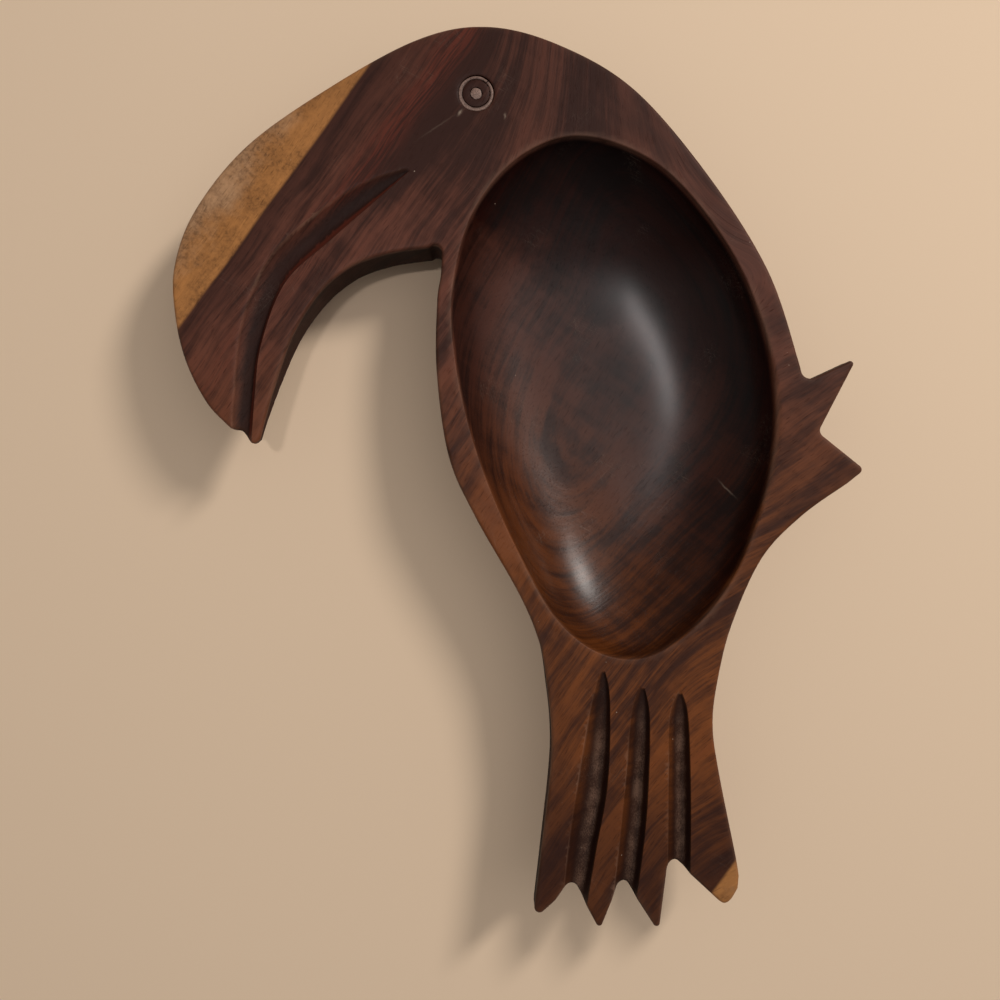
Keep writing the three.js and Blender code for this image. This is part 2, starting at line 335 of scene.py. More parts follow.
@dataclass(frozen=True)
class Gouge:
    """A gouged groove between a soft bank and a crisp bank, pointed where it starts."""

    soft: tuple[Pair, ...]
    deep: tuple[Pair, ...]
    crisp: tuple[Pair, ...]
    depth: float = 4.5
    end_depth: float = 4.5
    start: float = 0.02
    run_in: float = 0.35
    run_in_power: float = 0.7
    stations: int = 130
    bank_steps: int = 14
    wall_steps: int = 10
    bank_crowding: float = 1.2
    wall_crowding: float = 1.3
    bank_curve: float = 2.2
    wall_curve: float = 2.0
    soft_ease: float = 0.15
    crisp_ease: float = 0.12
    eased_depth: float = 0.35

    def across(self) -> np.ndarray:
        """Places across the groove: 0 on the soft bank, 1 on the deepest line, 2 on the crisp bank."""
        bank = np.linspace(0, 1, self.bank_steps, endpoint=False) ** self.bank_crowding
        return np.concatenate([bank, 2 - np.linspace(1, 0, self.wall_steps) ** self.wall_crowding])

    def section(self) -> np.ndarray:
        """Depth across the groove as a share of the full depth, eased at both banks.

        Returns:
            One share for each place across.
        """
        across = self.across()
        bank = 1 - np.clip(1 - across, 0, 1) ** self.bank_curve
        wall = 1 - np.clip(across - 1, 0, 1) ** self.wall_curve
        eased = smoothstep(across, -0.001, self.soft_ease) * smoothstep(2.001 - across, 0, self.crisp_ease)
        return np.where(across < 1, bank, wall) * (self.eased_depth + (1 - self.eased_depth) * eased)

    def sheet(self) -> np.ndarray:
        """The groove's surface.

        Returns:
            Points by station and place across, as x, y and depth.
        """
        along = np.linspace(self.start, 1, self.stations)
        bank, floor, wall = (evenly(spline(line, 1.0), along) for line in (self.soft, self.deep, self.crisp))
        full = self.depth + (self.end_depth - self.depth) * along
        full = full * np.minimum(1, along / self.run_in) ** self.run_in_power
        low = np.clip(self.across(), 0, 1)[None, :, None]
        high = np.clip(self.across() - 1, 0, 1)[None, :, None]
        plan = bank[:, None] + (floor - bank)[:, None] * low + (wall - floor)[:, None] * high
        return np.dstack([plan, full[:, None] * self.section()[None, :]])


MOUTH = Gouge(
    depth=5, end_depth=2,
    soft=((-38.5, 117), (-56, 112), (-75, 100.5), (-94.5, 82), (-104.5, 58), (-107.5, 31), (-108.5, 10)),
    deep=((-38.5, 117), (-52, 108), (-71, 94), (-89, 76), (-98.5, 50), (-101.5, 27), (-103, 8)),
    crisp=((-38.5, 117), (-51, 106), (-71, 88.5), (-87.5, 73), (-96.5, 50), (-99, 30), (-100.5, 8)),
)
TAIL_GROOVES = (
    Gouge(
        soft=((32.5, -71.5), (28, -84.5), (22.5, -115), (18.5, -143), (15.5, -176)),
        deep=((32.5, -71.5), (33.5, -86), (32, -115), (27, -143), (21.5, -176)),
        crisp=((32.5, -71.5), (35, -84), (34.3, -115), (29.5, -143), (24, -176)),
    ),
    Gouge(
        soft=((47.5, -78), (43, -88), (40.5, -115.5), (38, -140), (34, -176)),
        deep=((47.5, -78), (48.2, -90), (47.5, -115), (45.5, -140), (40.5, -176)),
        crisp=((47.5, -78), (50, -90), (49.7, -115), (47.7, -140), (42.5, -176)),
    ),
    Gouge(
        soft=((61.5, -80), (57.3, -90), (56.7, -115), (56.5, -140), (55.5, -176)),
        deep=((61.5, -80), (62.5, -92), (63.2, -115), (63.3, -140), (62.5, -176)),
        crisp=((61.5, -80), (64.5, -90), (65.5, -115), (65.5, -140), (64.8, -176)),
    ),
)


@dataclass(frozen=True)
class Underside:
    """Lower face of the plank: a belly under the bowl that fades into a slab that thins to its tips."""

    plank: float = 38
    slab: float = 24
    bill_tip: float = 5
    tail_tip: float = 10
    wing_tip: float = 9
    belly_dip: float = 3
    belly_power: float = 2.5
    blend: float = 9
    neck_x: float = -38
    bill_rise: Triple = (78, 12, 1.1)
    tail_rise: Triple = (-40, -171, 1.2)
    wing_rise: Triple = (90, 131, 1)

    def rise(self, value: np.ndarray, run: Triple, tip: float) -> np.ndarray:
        """Height gained over a run to a tip's thickness: the run is its start, end and power."""
        start, end, power = run
        return (self.slab - tip) * np.clip((value - start) / (end - start), 0, 1) ** power

    def height(self, plan: np.ndarray, share: np.ndarray) -> np.ndarray:
        """Height of the lower face.

        Args:
            plan: rows of x and y.
            share: share of the way to the bowl's rim, for each row.

        Returns:
            One height for each row, 0 on the flat foot.
        """
        x, y = plan.T
        slab = (
            self.plank - self.slab
            + np.where(x < self.neck_x, self.rise(y, self.bill_rise, self.bill_tip), 0)
            + self.rise(y, self.tail_rise, self.tail_tip) + self.rise(x, self.wing_rise, self.wing_tip)
        )
        swell = self.plank - self.slab + self.belly_dip
        belly = swell * share**self.belly_power - self.belly_dip
        overlap = np.maximum(self.blend - np.abs(slab - belly), 0) / self.blend
        return np.maximum(np.minimum(slab, belly) - overlap**2 * self.blend / 4, 0)


class Loop:
    """A closed run of points in the plan, counter-clockwise, that knows its inside and its distance."""

    def __init__(self, points: np.ndarray, tree: BVHTree | None = None) -> None:
        """Keeps the points and finds distances by an upright band through them.

        Args:
            points: rows of x and y.
            tree: the search tree of a loop in the same place, to share it.
        """
        self.points = points
        upright = [(x, y, z) for z in (-1.0, 1.0) for x, y in points]
        self.tree = tree or BVHTree.FromPolygons(upright, band_faces(2, len(points)))

    def distance(self, plan: np.ndarray) -> np.ndarray:
        """Distance of plan points to the loop."""
        return np.array([self.tree.find_nearest((x, y, 0.0))[3] for x, y in plan])

    def holds(self, plan: np.ndarray, gap: float = 0) -> np.ndarray:
        """Whether each point lies inside the loop.

        Args:
            plan: rows of x and y.
            gap: distance to the loop that each point has to keep too.

        Returns:
            One truth value for each row.
        """
        result = np.zeros(len(plan), bool)
        x, y = plan.T
        for (x0, y0), (x1, y1) in zip(self.points, np.roll(self.points, -1, axis=0)):
            if y0 != y1:
                crosses = (y0 > y) != (y1 > y)
                result ^= crosses & (x < (x1 - x0) * (y - y0) / (y1 - y0) + x0)
        return result & (self.distance(plan) > gap) if gap else result

    def inward(self) -> np.ndarray:
        """Directions of length 1 that point inward from each of its points.

        Returns:
            Rows of x and y.
        """
        tangent = np.roll(self.points, -1, axis=0) - np.roll(self.points, 1, axis=0)
        tangent /= np.maximum(np.linalg.norm(tangent, axis=1), 1e-9)[:, None]
        return np.column_stack([-tangent[:, 1], tangent[:, 0]])

    def eased(self, radius: float, steps: int, kept: float = 0.96) -> np.ndarray:
        """Points for an edge rounded by an arc, one run after another from the loop inward.

        Args:
            radius: radius of the arc.
            steps: number of its chords.
            kept: share of the offset that a point has to keep to the loop, which narrow tips don't give.

        Returns:
            Rows of x and y.
        """
        rows, inward = [], self.inward()
        for step in range(1, steps + 1):
            offset = radius * (1 - math.cos(math.pi / 2 * step / steps))
            run = self.points + inward * offset
            rows.append(run[self.distance(run) > kept * offset])
        return np.vstack(rows)

    def honeycomb(self, pitch: float, gap: float) -> np.ndarray:
        """Points of a honeycomb grid inside the loop.

        Args:
            pitch: distance between neighbours.
            gap: distance that each keeps to the loop.

        Returns:
            Rows of x and y.
        """
        (left, lowest), (right, highest) = self.points.min(axis=0), self.points.max(axis=0)
        rows = []
        for k, y in enumerate(np.arange(lowest, highest, pitch * math.sqrt(3) / 2)):
            x = np.arange(left + pitch / 2 * (k % 2), right, pitch)
            rows.append(np.column_stack([x, np.full(len(x), y)]))
        grid = np.vstack(rows)
        grid = grid[self.holds(grid)]
        return grid[self.distance(grid) > gap]


class PlanMesh:
    """Points and lines in the plan, joined into triangles that keep the lines."""

    def __init__(self, clearance: float, loop: Loop, hole: Loop | None = None) -> None:
        """Starts with the lines of its edges.

        Args:
            clearance: distance that loose points keep to each other.
            loop: the loop that the mesh fills.
            hole: a loop that stays empty.
        """
        self.clearance, self.loop, self.hole = clearance, loop, hole
        self.rows: list[np.ndarray] = []
        self.lines: list[tuple[int, int]] = []
        self.taken: set[tuple[int, int]] = set()
        for edge in (loop, hole):
            if edge:
                self.line(edge.points)

    def cell(self, point: np.ndarray) -> tuple[int, int]:
        """The square of the clearance's size that holds a point."""
        return (int(round(point[0] / self.clearance)), int(round(point[1] / self.clearance)))

    def line(self, points: np.ndarray, closed: bool = True) -> None:
        """Adds a run of points whose links stay edges of the mesh.

        Args:
            points: rows of x and y.
            closed: whether the last point is linked to the first.
        """
        first, count = len(self.rows), len(points)
        self.rows.extend(points)
        self.lines += [(first + i, first + i + 1) for i in range(count - 1)]
        if closed:
            self.lines.append((first + count - 1, first))
        self.taken.update(self.cell(p) for p in points)

    def loose(self, points: np.ndarray) -> None:
        """Adds points that have no link, leaving out those on top of earlier ones.

        Args:
            points: rows of x and y.
        """
        for point in points:
            cell = self.cell(point)
            if cell not in self.taken:
                self.taken.add(cell)
                self.rows.append(point)

    def triangles(self) -> tuple[np.ndarray, np.ndarray]:
        """Joins all points.

        Returns:
            Rows of x and y, and rows of three counter-clockwise corners.
        """
        verts, _, faces, *_ = delaunay_2d_cdt([Vector(p) for p in self.rows], self.lines, [], 0, 1e-6)
        plan = np.array([tuple(v) for v in verts])
        corners = np.array([f for f in faces if len(f) == 3])
        a, b, c = (plan[corners[:, i]] for i in range(3))
        turn = (b[:, 0] - a[:, 0]) * (c[:, 1] - a[:, 1]) - (b[:, 1] - a[:, 1]) * (c[:, 0] - a[:, 0])
        corners[turn < 0] = corners[turn < 0][:, ::-1]
        corners = corners[np.abs(turn) > 1e-9]
        middles = plan[corners].mean(axis=1)
        kept = self.loop.holds(middles)
        if self.hole:
            kept &= ~self.hole.holds(middles)
        return plan, corners[kept]


def linked(name: str, data: bpy.types.ID) -> bpy.types.Object:
    """Makes an object and links it to the scene.

    Args:
        name: the object's name.
        data: the mesh, light or camera that it holds.

    Returns:
        The new object.
    """
    obj = bpy.data.objects.new(name, data)
    bpy.context.scene.collection.objects.link(obj)
    return obj


def mesh_object(name: str, parts: Sequence[Part], crease: float) -> bpy.types.Object:
    """Makes a closed smooth-shaded object.

    Args:
        name: the object's name.
        parts: points in millimetres and the faces between them, for each stretch of the surface.
        crease: angle in degrees from which an edge stays sharp.

    Returns:
        The new object, linked to the scene.
    """
    bm = bmesh.new()
    for points, faces in parts:
        verts = [bm.verts.new(p) for p in points.reshape(-1, 3)]
        for face in faces:
            corners = [verts[i] for i in face]
            if len(set(corners)) == len(corners) and not bm.faces.get(corners):
                bm.faces.new(corners)
    bmesh.ops.scale(bm, vec=(MM, MM, MM), verts=bm.verts)
    bmesh.ops.remove_doubles(bm, verts=bm.verts, dist=2e-7)
    bmesh.ops.recalc_face_normals(bm, faces=bm.faces)
    for face in bm.faces:
        face.smooth = True
    mesh = bpy.data.meshes.new(name)
    bm.to_mesh(mesh)
    bm.free()
    mesh.set_sharp_from_angle(angle=math.radians(crease))
    return linked(name, mesh)


def boundary_loop(plan: np.ndarray, corners: np.ndarray) -> np.ndarray:
    """The outermost boundary of a plan mesh.

    Args:
        plan: rows of x and y.
        corners: rows of three counter-clockwise corners.

    Returns:
        Indices of its points in counter-clockwise order, from the leftmost on.
    """
    sides = np.vstack([corners[:, [0, 1]], corners[:, [1, 2]], corners[:, [2, 0]]])
    present = {(a, b) for a, b in sides.tolist()}
    following = {a: b for a, b in present if (b, a) not in present}
    first = min(following, key=lambda i: plan[i, 0])
    loop, here = [first], following[first]
    while here != first:
        loop.append(here)
        here = following[here]
    return np.array(loop)


@dataclass(frozen=True)
class EyeSeat:
    """Round seats cut for the eye's inlay: a hole for the peg and a groove for the ring."""

    circles: tuple[Pair, ...] = (
        (2.26, 2.2), (2.33, 0.9), (2.40, 0.10), (2.8, 0.04), (3.6, 0.0), (4.7, 0.03), (5.02, 0.14),
        (5.10, 1.6), (6.80, 1.6), (6.88, 0.3), (7.3, 0.08), (7.7, 0),
    )
    groove_circles: int = 5
    groove_shift: Pair = (0.12, 0.14)
    sides: int = 96
    margin: float = 0.8

    def centre(self, radius: float) -> Pair:
        """Centre of one of the circles: the ring's groove sits a little to the upper right."""
        outer = radius > self.circles[-self.groove_circles][0]
        return tuple(c + (s if outer else 0) for c, s in zip(EYE, self.groove_shift))

    def loops(self) -> list[np.ndarray]:
        """The circles as closed runs of points."""
        turn = 2 * math.pi
        return [arc(self.centre(radius), radius, 0, turn, self.sides)[:-1] for radius, _ in self.circles]

    def away(self, plan: np.ndarray) -> np.ndarray:
        """Distance of points from the eye's centre."""
        return np.linalg.norm(plan - np.array(EYE), axis=1)

    def drop(self, plan: np.ndarray) -> np.ndarray:
        """Depth of the seats.

        Args:
            plan: rows of x and y.

        Returns:
            One depth for each row.
        """
        radii, drops = np.array(self.circles).T
        inner = self.away(plan)
        outer = np.linalg.norm(plan - np.array(self.centre(radii[-1])), axis=1)
        away = np.where(inner > radii[-self.groove_circles], outer, inner)
        return np.interp(away, np.concatenate([[0], radii]), np.concatenate([[drops[0]], drops]))


@dataclass(frozen=True)
class Hollow:
    """The bowl cut into the plank: its eased rim, steep wall and round floor."""

    rim: Rim = Rim()
    depth: float = 28
    flatness: float = 3
    wall: float = 0.6
    ease: float = 0.7
    ease_height: float = 0.8
    wide_ease: float = 2.6
    wide_angle: float = -0.2
    wide_spread: float = 0.55
    sides: int = 380
    ease_steps: int = 6
    wall_rings: int = 26
    floor_share: float = 0.86
    floor_pitch: float = 1.35
    floor_gap: float = 0.55
    clearance: float = 0.3

    def drop(self, share: np.ndarray | float) -> np.ndarray | float:
        """Depth of the surface below the rim, for shares of the way to the rim."""
        return self.depth * np.clip(1 - np.clip(share, 0, 1) ** self.flatness, 0, 1) ** self.wall

    def wall_share(self, drop: np.ndarray) -> np.ndarray:
        """Share of the way to the rim at which the bowl has a given depth."""
        return (1 - (drop / self.depth) ** (1 / self.wall)) ** (1 / self.flatness)

    def rings(self) -> list[tuple[np.ndarray, np.ndarray]]:
        """Rings of the eased rim and the wall, from the lip down to the floor.

        Returns:
            The plan points and the depths of each ring.
        """
        angles = np.linspace(-math.pi, math.pi, self.sides, endpoint=False)
        widening = bump(wrapped(angles - self.wide_angle), 0, self.wide_spread)
        ease = self.ease + (self.wide_ease - self.ease) * widening
        rounds = [math.pi / 2 * step / self.ease_steps for step in range(self.ease_steps)]
        lip, floor = self.ease_height * ease, self.drop(self.floor_share)
        drops = [(lip * (1 - math.cos(phi)), ease * (1 - math.sin(phi))) for phi in rounds]
        drops += [(lip + (floor - lip) * step / self.wall_rings, 0) for step in range(self.wall_rings + 1)]
        direction = np.column_stack([np.cos(angles), np.sin(angles)])
        reach, centre = self.rim.reach(angles), np.array(self.rim.centre)
        return [
            (centre + direction * (reach * self.wall_share(drop) + wider)[:, None], drop)
            for drop, wider in drops
        ]

    def floor(self, ring: np.ndarray) -> tuple[np.ndarray, np.ndarray]:
        """Triangles of the floor.

        Args:
            ring: the lowest ring of the wall.

        Returns:
            Rows of x and y, and rows of three corners.
        """
        mesh = PlanMesh(self.clearance, Loop(ring))
        mesh.loose(mesh.loop.honeycomb(self.floor_pitch, self.floor_gap * self.floor_pitch))
        return mesh.triangles()


class Grooves:
    """All gouged grooves, with search trees that give their depth."""

    def __init__(self, gouges: Sequence[Gouge]) -> None:
        """Makes each groove's surface and search tree.

        Args:
            gouges: the grooves, all with the same places across.
        """
        self.across = gouges[0].across()
        self.sheets = [gouge.sheet() for gouge in gouges]
        self.trees = [
            BVHTree.FromPolygons(sheet.reshape(-1, 3).tolist(), band_faces(*sheet.shape[:2], closed=False))
            for sheet in self.sheets
        ]

    def drop(self, plan: np.ndarray) -> tuple[np.ndarray, np.ndarray]:
        """Depth of the grooves.

        Args:
            plan: rows of x and y.

        Returns:
            The depth, and the place across: 0 on the soft bank, 1 on the deepest line, 2 on the crisp bank.
        """
        drop, place = np.zeros(len(plan)), np.zeros(len(plan))
        for tree, sheet in zip(self.trees, self.sheets):
            low, high = sheet[..., :2].min((0, 1)) - 1, sheet[..., :2].max((0, 1)) + 1
            for i in np.flatnonzero(((plan > low) & (plan < high)).all(axis=1)):
                hit, _, index, _ = tree.ray_cast(Vector((*plan[i], 99)), Vector((0, 0, -1)))
                if hit is not None:
                    drop[i] = max(drop[i], hit.z)
                    place[i] = self.across[index % (sheet.shape[1] - 1)]
        return drop, place


@dataclass
class CarvedBody:
    """The plank carved in one piece: head, bill, bowl, wing and tail."""

    outline: Outline = Outline()
    hollow: Hollow = Hollow()
    underside: Underside = Underside()
    eye: EyeSeat = EyeSeat()
    grooves: Grooves = field(default_factory=lambda: Grooves((MOUTH, *TAIL_GROOVES)))
    height: float = 38
    edge_round: float = 1.3
    edge_steps: int = 6
    lower_round: float = 2.2
    lower_round_share: float = 0.3
    lower_steps: int = 5
    top_pitch: float = 1.7
    top_clearance: float = 0.11
    bank_gap: float = 0.12
    groove_gap: float = 0.3
    lip_gap: float = 0.6
    under_pitch: float = 2.6
    under_clearance: float = 0.2
    side_rows: int = 9
    box_gap: float = 0.02
    saw_depth: float = 0.16
    hand_finish: float = 0.16
    crease: float = 38
    top_zone: Pair = (34.5, 37)
    groove_zone: float = 31
    bowl_zone: float = 9.5
    bank_depths: Pair = (0.05, 0.6)
    floor_depths: Pair = (0.3, 1.5)
    floor_across: tuple[Pair, Pair] = ((0.4, 0.8), (1.1, 1.5))
    # Spans across a groove for its painted shade, rising across the soft bank.
    groove_shade_across: tuple[Triple, Triple] = ((0.4, 0.02, 0.12), (0.6, 0.15, 0.55))
    crisp_across: Pair = (1.1, 1.4)
    # Painted highlights along each groove's soft bank (ridge and crest) and along the bowl's rim, with the
    # wear of the outer edge.
    ridge_across: Pair = (0.03, 0.05)
    crest: Pair = (0.7, 0.4)
    edge_wear_and_highlight: Pair = (0, 1)
    rim_wear_and_highlight: Pair = (0.3, 0.9)
    bowl_edge: Pair = (-0.1, 1)
    belly_gap: float = 2
    sawn_edge: Pair = (0, 0.5)
    steep: Pair = (0.55, 0.9)

    def undulation(self, plan: np.ndarray) -> np.ndarray:
        """Slight waviness of a face finished by hand.

        Args:
            plan: rows of x and y.

        Returns:
            How far each point is sunk, from 0 to the hand_finish depth.
        """
        x, y = plan.T
        waves = (
            np.sin(x / 23 + 0.4) * np.sin(y / 31 + 1.1) + 0.6 * np.sin(x / 11 - y / 17 + 2.0)
            + 0.4 * np.sin(x / 9 + y / 13)
        )
        return self.hand_finish * (0.5 + waves / 4)

    def edge_drop(self, away: np.ndarray, radius: np.ndarray | float) -> np.ndarray:
        """Drop of an edge rounded by an arc, at a distance from the outline."""
        return radius * (1 - np.sqrt(1 - (1 - np.clip(away / radius, 0, 1)) ** 2))

    def top(self, loop: Loop, lip: Loop) -> tuple[np.ndarray, np.ndarray]:
        """Upper face between the outline and the bowl's lip.

        Args:
            loop: the outline.
            lip: outer edge of the bowl's eased rim.

        Returns:
            Rows of x, y and height, and rows of three corners.
        """
        mesh = PlanMesh(self.top_clearance, loop, lip)
        for run in self.eye.loops():
            mesh.line(run)
        for sheet in self.grooves.sheets:
            for run in (sheet[:, 0, :2], sheet[:, -1, :2]):
                mesh.line(run[loop.holds(run, self.bank_gap)], closed=False)
        for sheet in self.grooves.sheets:
            inner = sheet[1:, 1:-1, :2].reshape(-1, 2)
            mesh.loose(inner[loop.holds(inner, self.groove_gap)])
        mesh.loose(loop.eased(self.edge_round, self.edge_steps))
        grid = loop.honeycomb(self.top_pitch, self.edge_round + 0.5 * self.top_pitch)
        grid = grid[~lip.holds(grid) & (lip.distance(grid) > self.lip_gap * self.top_pitch)]
        grid = grid[self.eye.away(grid) > self.eye.circles[-1][0] + self.eye.margin]
        mesh.loose(grid[self.grooves.drop(grid)[0] == 0])
        xy, corners = mesh.triangles()
        drop = (
            self.undulation(xy) + self.grooves.drop(xy)[0] + self.eye.drop(xy)
            + self.edge_drop(loop.distance(xy), self.edge_round)
        )
        return np.column_stack([xy, self.height - drop]), corners

    def under(self, loop: Loop) -> tuple[np.ndarray, np.ndarray]:
        """Lower face with its rounded edge.

        Args:
            loop: the outline as the upper face has it.

        Returns:
            Rows of x, y and height, and rows of three corners.
        """
        mesh = PlanMesh(self.under_clearance, loop)
        mesh.loose(loop.eased(self.lower_round, self.lower_steps))
        mesh.loose(loop.honeycomb(self.under_pitch, self.lower_round + 0.5 * self.under_pitch))
        xy, corners = mesh.triangles()
        base = self.underside.height(xy, self.hollow.rim.share(xy))
        radius = np.minimum(self.lower_round, self.lower_round_share * (self.height - base))
        return np.column_stack([xy, base + self.edge_drop(loop.distance(xy), radius)]), corners

    def sides(self, upper: np.ndarray, lower: np.ndarray) -> np.ndarray:
        """Sides of the plank, with the faint upright marks of the saw.

        Args:
            upper: edge of the upper face as rows of x, y and height.
            lower: edge of the lower face, row by row below it.

        Returns:
            Rows of points from the upper edge down to the lower one.
        """
        plan = upper[:, :2]
        along = np.cumsum(np.linalg.norm(np.roll(plan, -1, axis=0) - plan, axis=1))
        marks = 0.5 + 0.25 * np.sin(along / 1.7) + 0.25 * np.sin(along / 0.83 + 1.3 * np.sin(along / 9))
        inward = Loop(plan).inward() * marks[:, None] * self.saw_depth
        rows = [upper]
        for step in range(1, self.side_rows):
            t = step / self.side_rows
            shifted = plan + inward * math.sin(math.pi * t) ** 0.5
            rows.append(np.column_stack([shifted, upper[:, 2] + (lower[:, 2] - upper[:, 2]) * t]))
        return np.array([*rows, lower])

    def build(self) -> bpy.types.Object:
        """Makes the body's mesh, with its marks.

        Returns:
            The new object.
        """
        low, high = (np.array(corner[:2]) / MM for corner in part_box(Node.BODY.value))
        loop = Loop(np.clip(self.outline.points(), low + self.box_gap, high - self.box_gap))
        rings = self.hollow.rings()
        top, top_faces = self.top(loop, Loop(rings[0][0]))
        edge = top[boundary_loop(top, top_faces)]
        under, under_faces = self.under(Loop(edge[:, :2], loop.tree))
        lower_edge = under[boundary_loop(under, under_faces)]
        first = int(np.argmin(np.linalg.norm(lower_edge[:, :2] - edge[0, :2], axis=1)))
        floor, floor_faces = self.hollow.floor(rings[-1][0])
        floor_drop = self.hollow.drop(self.hollow.rim.share(floor))
        floor, *wall = (
            np.column_stack([plan, self.height - drop - self.undulation(plan)])
            for plan, drop in ((floor, floor_drop), *rings)
        )
        sides = self.sides(edge, np.roll(lower_edge, -first, axis=0))
        parts = [
            (top, top_faces.tolist()), (floor, floor_faces.tolist()), (under, under_faces[:, ::-1].tolist()),
            *((grid, band_faces(*grid.shape[:2])) for grid in (np.array(wall), sides)),
        ]
        obj = mesh_object("bird_body", parts, self.crease)
        self.mark(obj.data, loop)
        return obj

    def mark(self, mesh: bpy.types.Mesh, loop: Loop) -> None:
        """Writes the vertex marks that the wood finish reads.

        Args:
            mesh: the body's mesh.
            loop: the outline.
        """
        places, normals = np.empty((2, len(mesh.vertices) * 3))
        mesh.vertices.foreach_get("co", places)
        mesh.vertices.foreach_get("normal", normals)
        plan, height = places.reshape(-1, 3)[:, :2] / MM, places[2::3] / MM
        rim = self.hollow.rim
        angles, lengths = rim.polar(plan)
        reach, share, away = rim.reach(angles), rim.share(plan), loop.distance(plan)
        near_top = smoothstep(height, *self.top_zone)
        drop, across = self.grooves.drop(plan)
        on_bank = smoothstep(drop, *self.bank_depths) * (height > self.groove_zone)
        low = smoothstep(drop, *self.floor_depths) * (height > self.groove_zone)
        upper = height > self.underside.height(plan, share) + self.belly_gap
        in_bowl = (share < 1) & (height > self.bowl_zone) & upper
        # Painted highlights on the grooves' soft banks and the rim's lip line go into the edge mark with the
        # edge wear.
        crest = np.where((drop > 0) & (drop < self.crest[0]), self.crest[1], 0)
        ridge = np.where(drop > 0, bump(across, *self.ridge_across), 0)
        wear_and_highlight = (bump(away, *self.edge_wear_and_highlight) + bump(lengths - reach, *self.rim_wear_and_highlight)) * near_top
        steep = smoothstep(1 - np.abs(normals[2::3]), *self.steep)
        toward_floor, past_floor = (smoothstep(across, *zone) for zone in self.floor_across)
        marks = {
            Mark.EDGE: np.clip(wear_and_highlight + crest, 0, 1) + ridge,
            Mark.BOWL: np.where(in_bowl, smoothstep(reach - lengths, *self.bowl_edge), 0),
            # Painted shade in the grooves.
            Mark.GROOVE: on_bank * sum(part * smoothstep(across, *zone) for part, *zone in self.groove_shade_across),
            Mark.FLOOR: low * toward_floor * (1 - past_floor),
            Mark.SAWN: steep * bump(away, *self.sawn_edge) * (1 - near_top),
            Mark.CRISP: on_bank * smoothstep(across, *self.crisp_across),
        }
        for mark, values in marks.items():
            layer = mesh.attributes.new(mark.value, "FLOAT", "POINT")
            layer.data.foreach_set("value", values.astype(np.float32))


@dataclass
class EyeRing:
    """Pale ring pressed into its groove, uneven in width, with a small break where its ends meet."""

    shift: Pair = (-0.08, -0.08)
    outer: float = 6.56
    width: float = 1.2
    width_change: float = 0.2
    thick_side: float = -2.4
    top: float = 37.86
    bottom: float = 34.6
    crown: float = 0.22
    break_angle: float = 0.8
    break_turn: float = 0.075
    sides: int = 132
    section_steps: int = 8
    crease: float = 50

    def section(self, angle: float) -> np.ndarray:
        """Outline of the ring's section.

        Args:
            angle: direction of the section from the ring's centre, in radians.

        Returns:
            Rows of x, y and height.
        """
        wobble = 0.07 * math.sin(5 * angle + 0.7) + 0.04 * math.sin(11 * angle)
        outer = self.outer + 0.5 * wobble
        inner = outer - self.width - self.width_change * math.cos(angle - self.thick_side) - wobble
        profile = [(inner, self.bottom), (outer, self.bottom)]
        for t in np.linspace(0, 1, self.section_steps + 1):
            hollow = self.crown * (2 * t - 1) ** 4
            profile.append((outer + (inner - outer) * t, self.top - hollow + 0.05 * wobble))
        x, y = (c + s for c, s in zip(EYE, self.shift))
        return np.array([(x + r * math.cos(angle), y + r * math.sin(angle), z) for r, z in profile])

    def build(self) -> bpy.types.Object:
        """Makes the ring's mesh.

        Returns:
            The new object.
        """
        start = self.break_angle + self.break_turn / 2
        angles = start + np.linspace(0, 2 * math.pi - self.break_turn, self.sides + 1)
        rings = np.array([self.section(angle) for angle in angles])
        rows, count = rings.shape[:2]
        ends = [tuple(range(count - 1, -1, -1)), tuple(range((rows - 1) * count, rows * count))]
        return mesh_object("eye_ring_inlay", [(rings, band_faces(rows, count) + ends)], self.crease)


@dataclass
class EyePupil:
    """Pale round peg with an uneven face, rubbed down by use."""

    radius: float = 2.22
    top: float = 37.9
    bottom: float = 34.6
    crown: float = 0.25
    sides: int = 56
    rings: int = 7
    crease: float = 50

    def build(self) -> bpy.types.Object:
        """Makes the peg's mesh.

        Returns:
            The new object.
        """
        angles = np.linspace(0, 2 * math.pi, self.sides, endpoint=False)
        uneven = 0.95 - 0.04 * np.sin(2 * angles + 0.5) - 0.03 * np.sin(5 * angles + 1.2)
        inset = [k / self.rings for k in range(self.rings)]
        levels = [(1.0, self.bottom), *((1 - k, self.top - self.crown * (1 - k) ** 2) for k in inset)]
        rows = [
            (EYE[0] + r * math.cos(a), EYE[1] + r * math.sin(a), z)
            for share, z in levels for r, a in zip(self.radius * uneven * share, angles)
        ]
        rows.append((*EYE, self.top))
        count, middle = self.sides, len(rows) - 1
        last = middle - count
        faces = band_faces(len(levels), count)
        faces += [(last + i, last + (i + 1) % count, middle) for i in range(count)]
        faces.append(tuple(range(count - 1, -1, -1)))
        return mesh_object("eye_pupil_inlay", [(np.array(rows), faces)], self.crease)


Ramp = tuple[float, ...]
Cloud = tuple[float, ...]


def paint(red: int, green: int, blue: int) -> Triple:
    """Scene colour of a display colour whose parts run from 0 to 255."""
    parts = (c / 255 for c in (red, green, blue))
    return tuple(c / 12.92 if c <= 0.04045 else ((c + 0.055) / 1.055) ** 2.4 for c in parts)


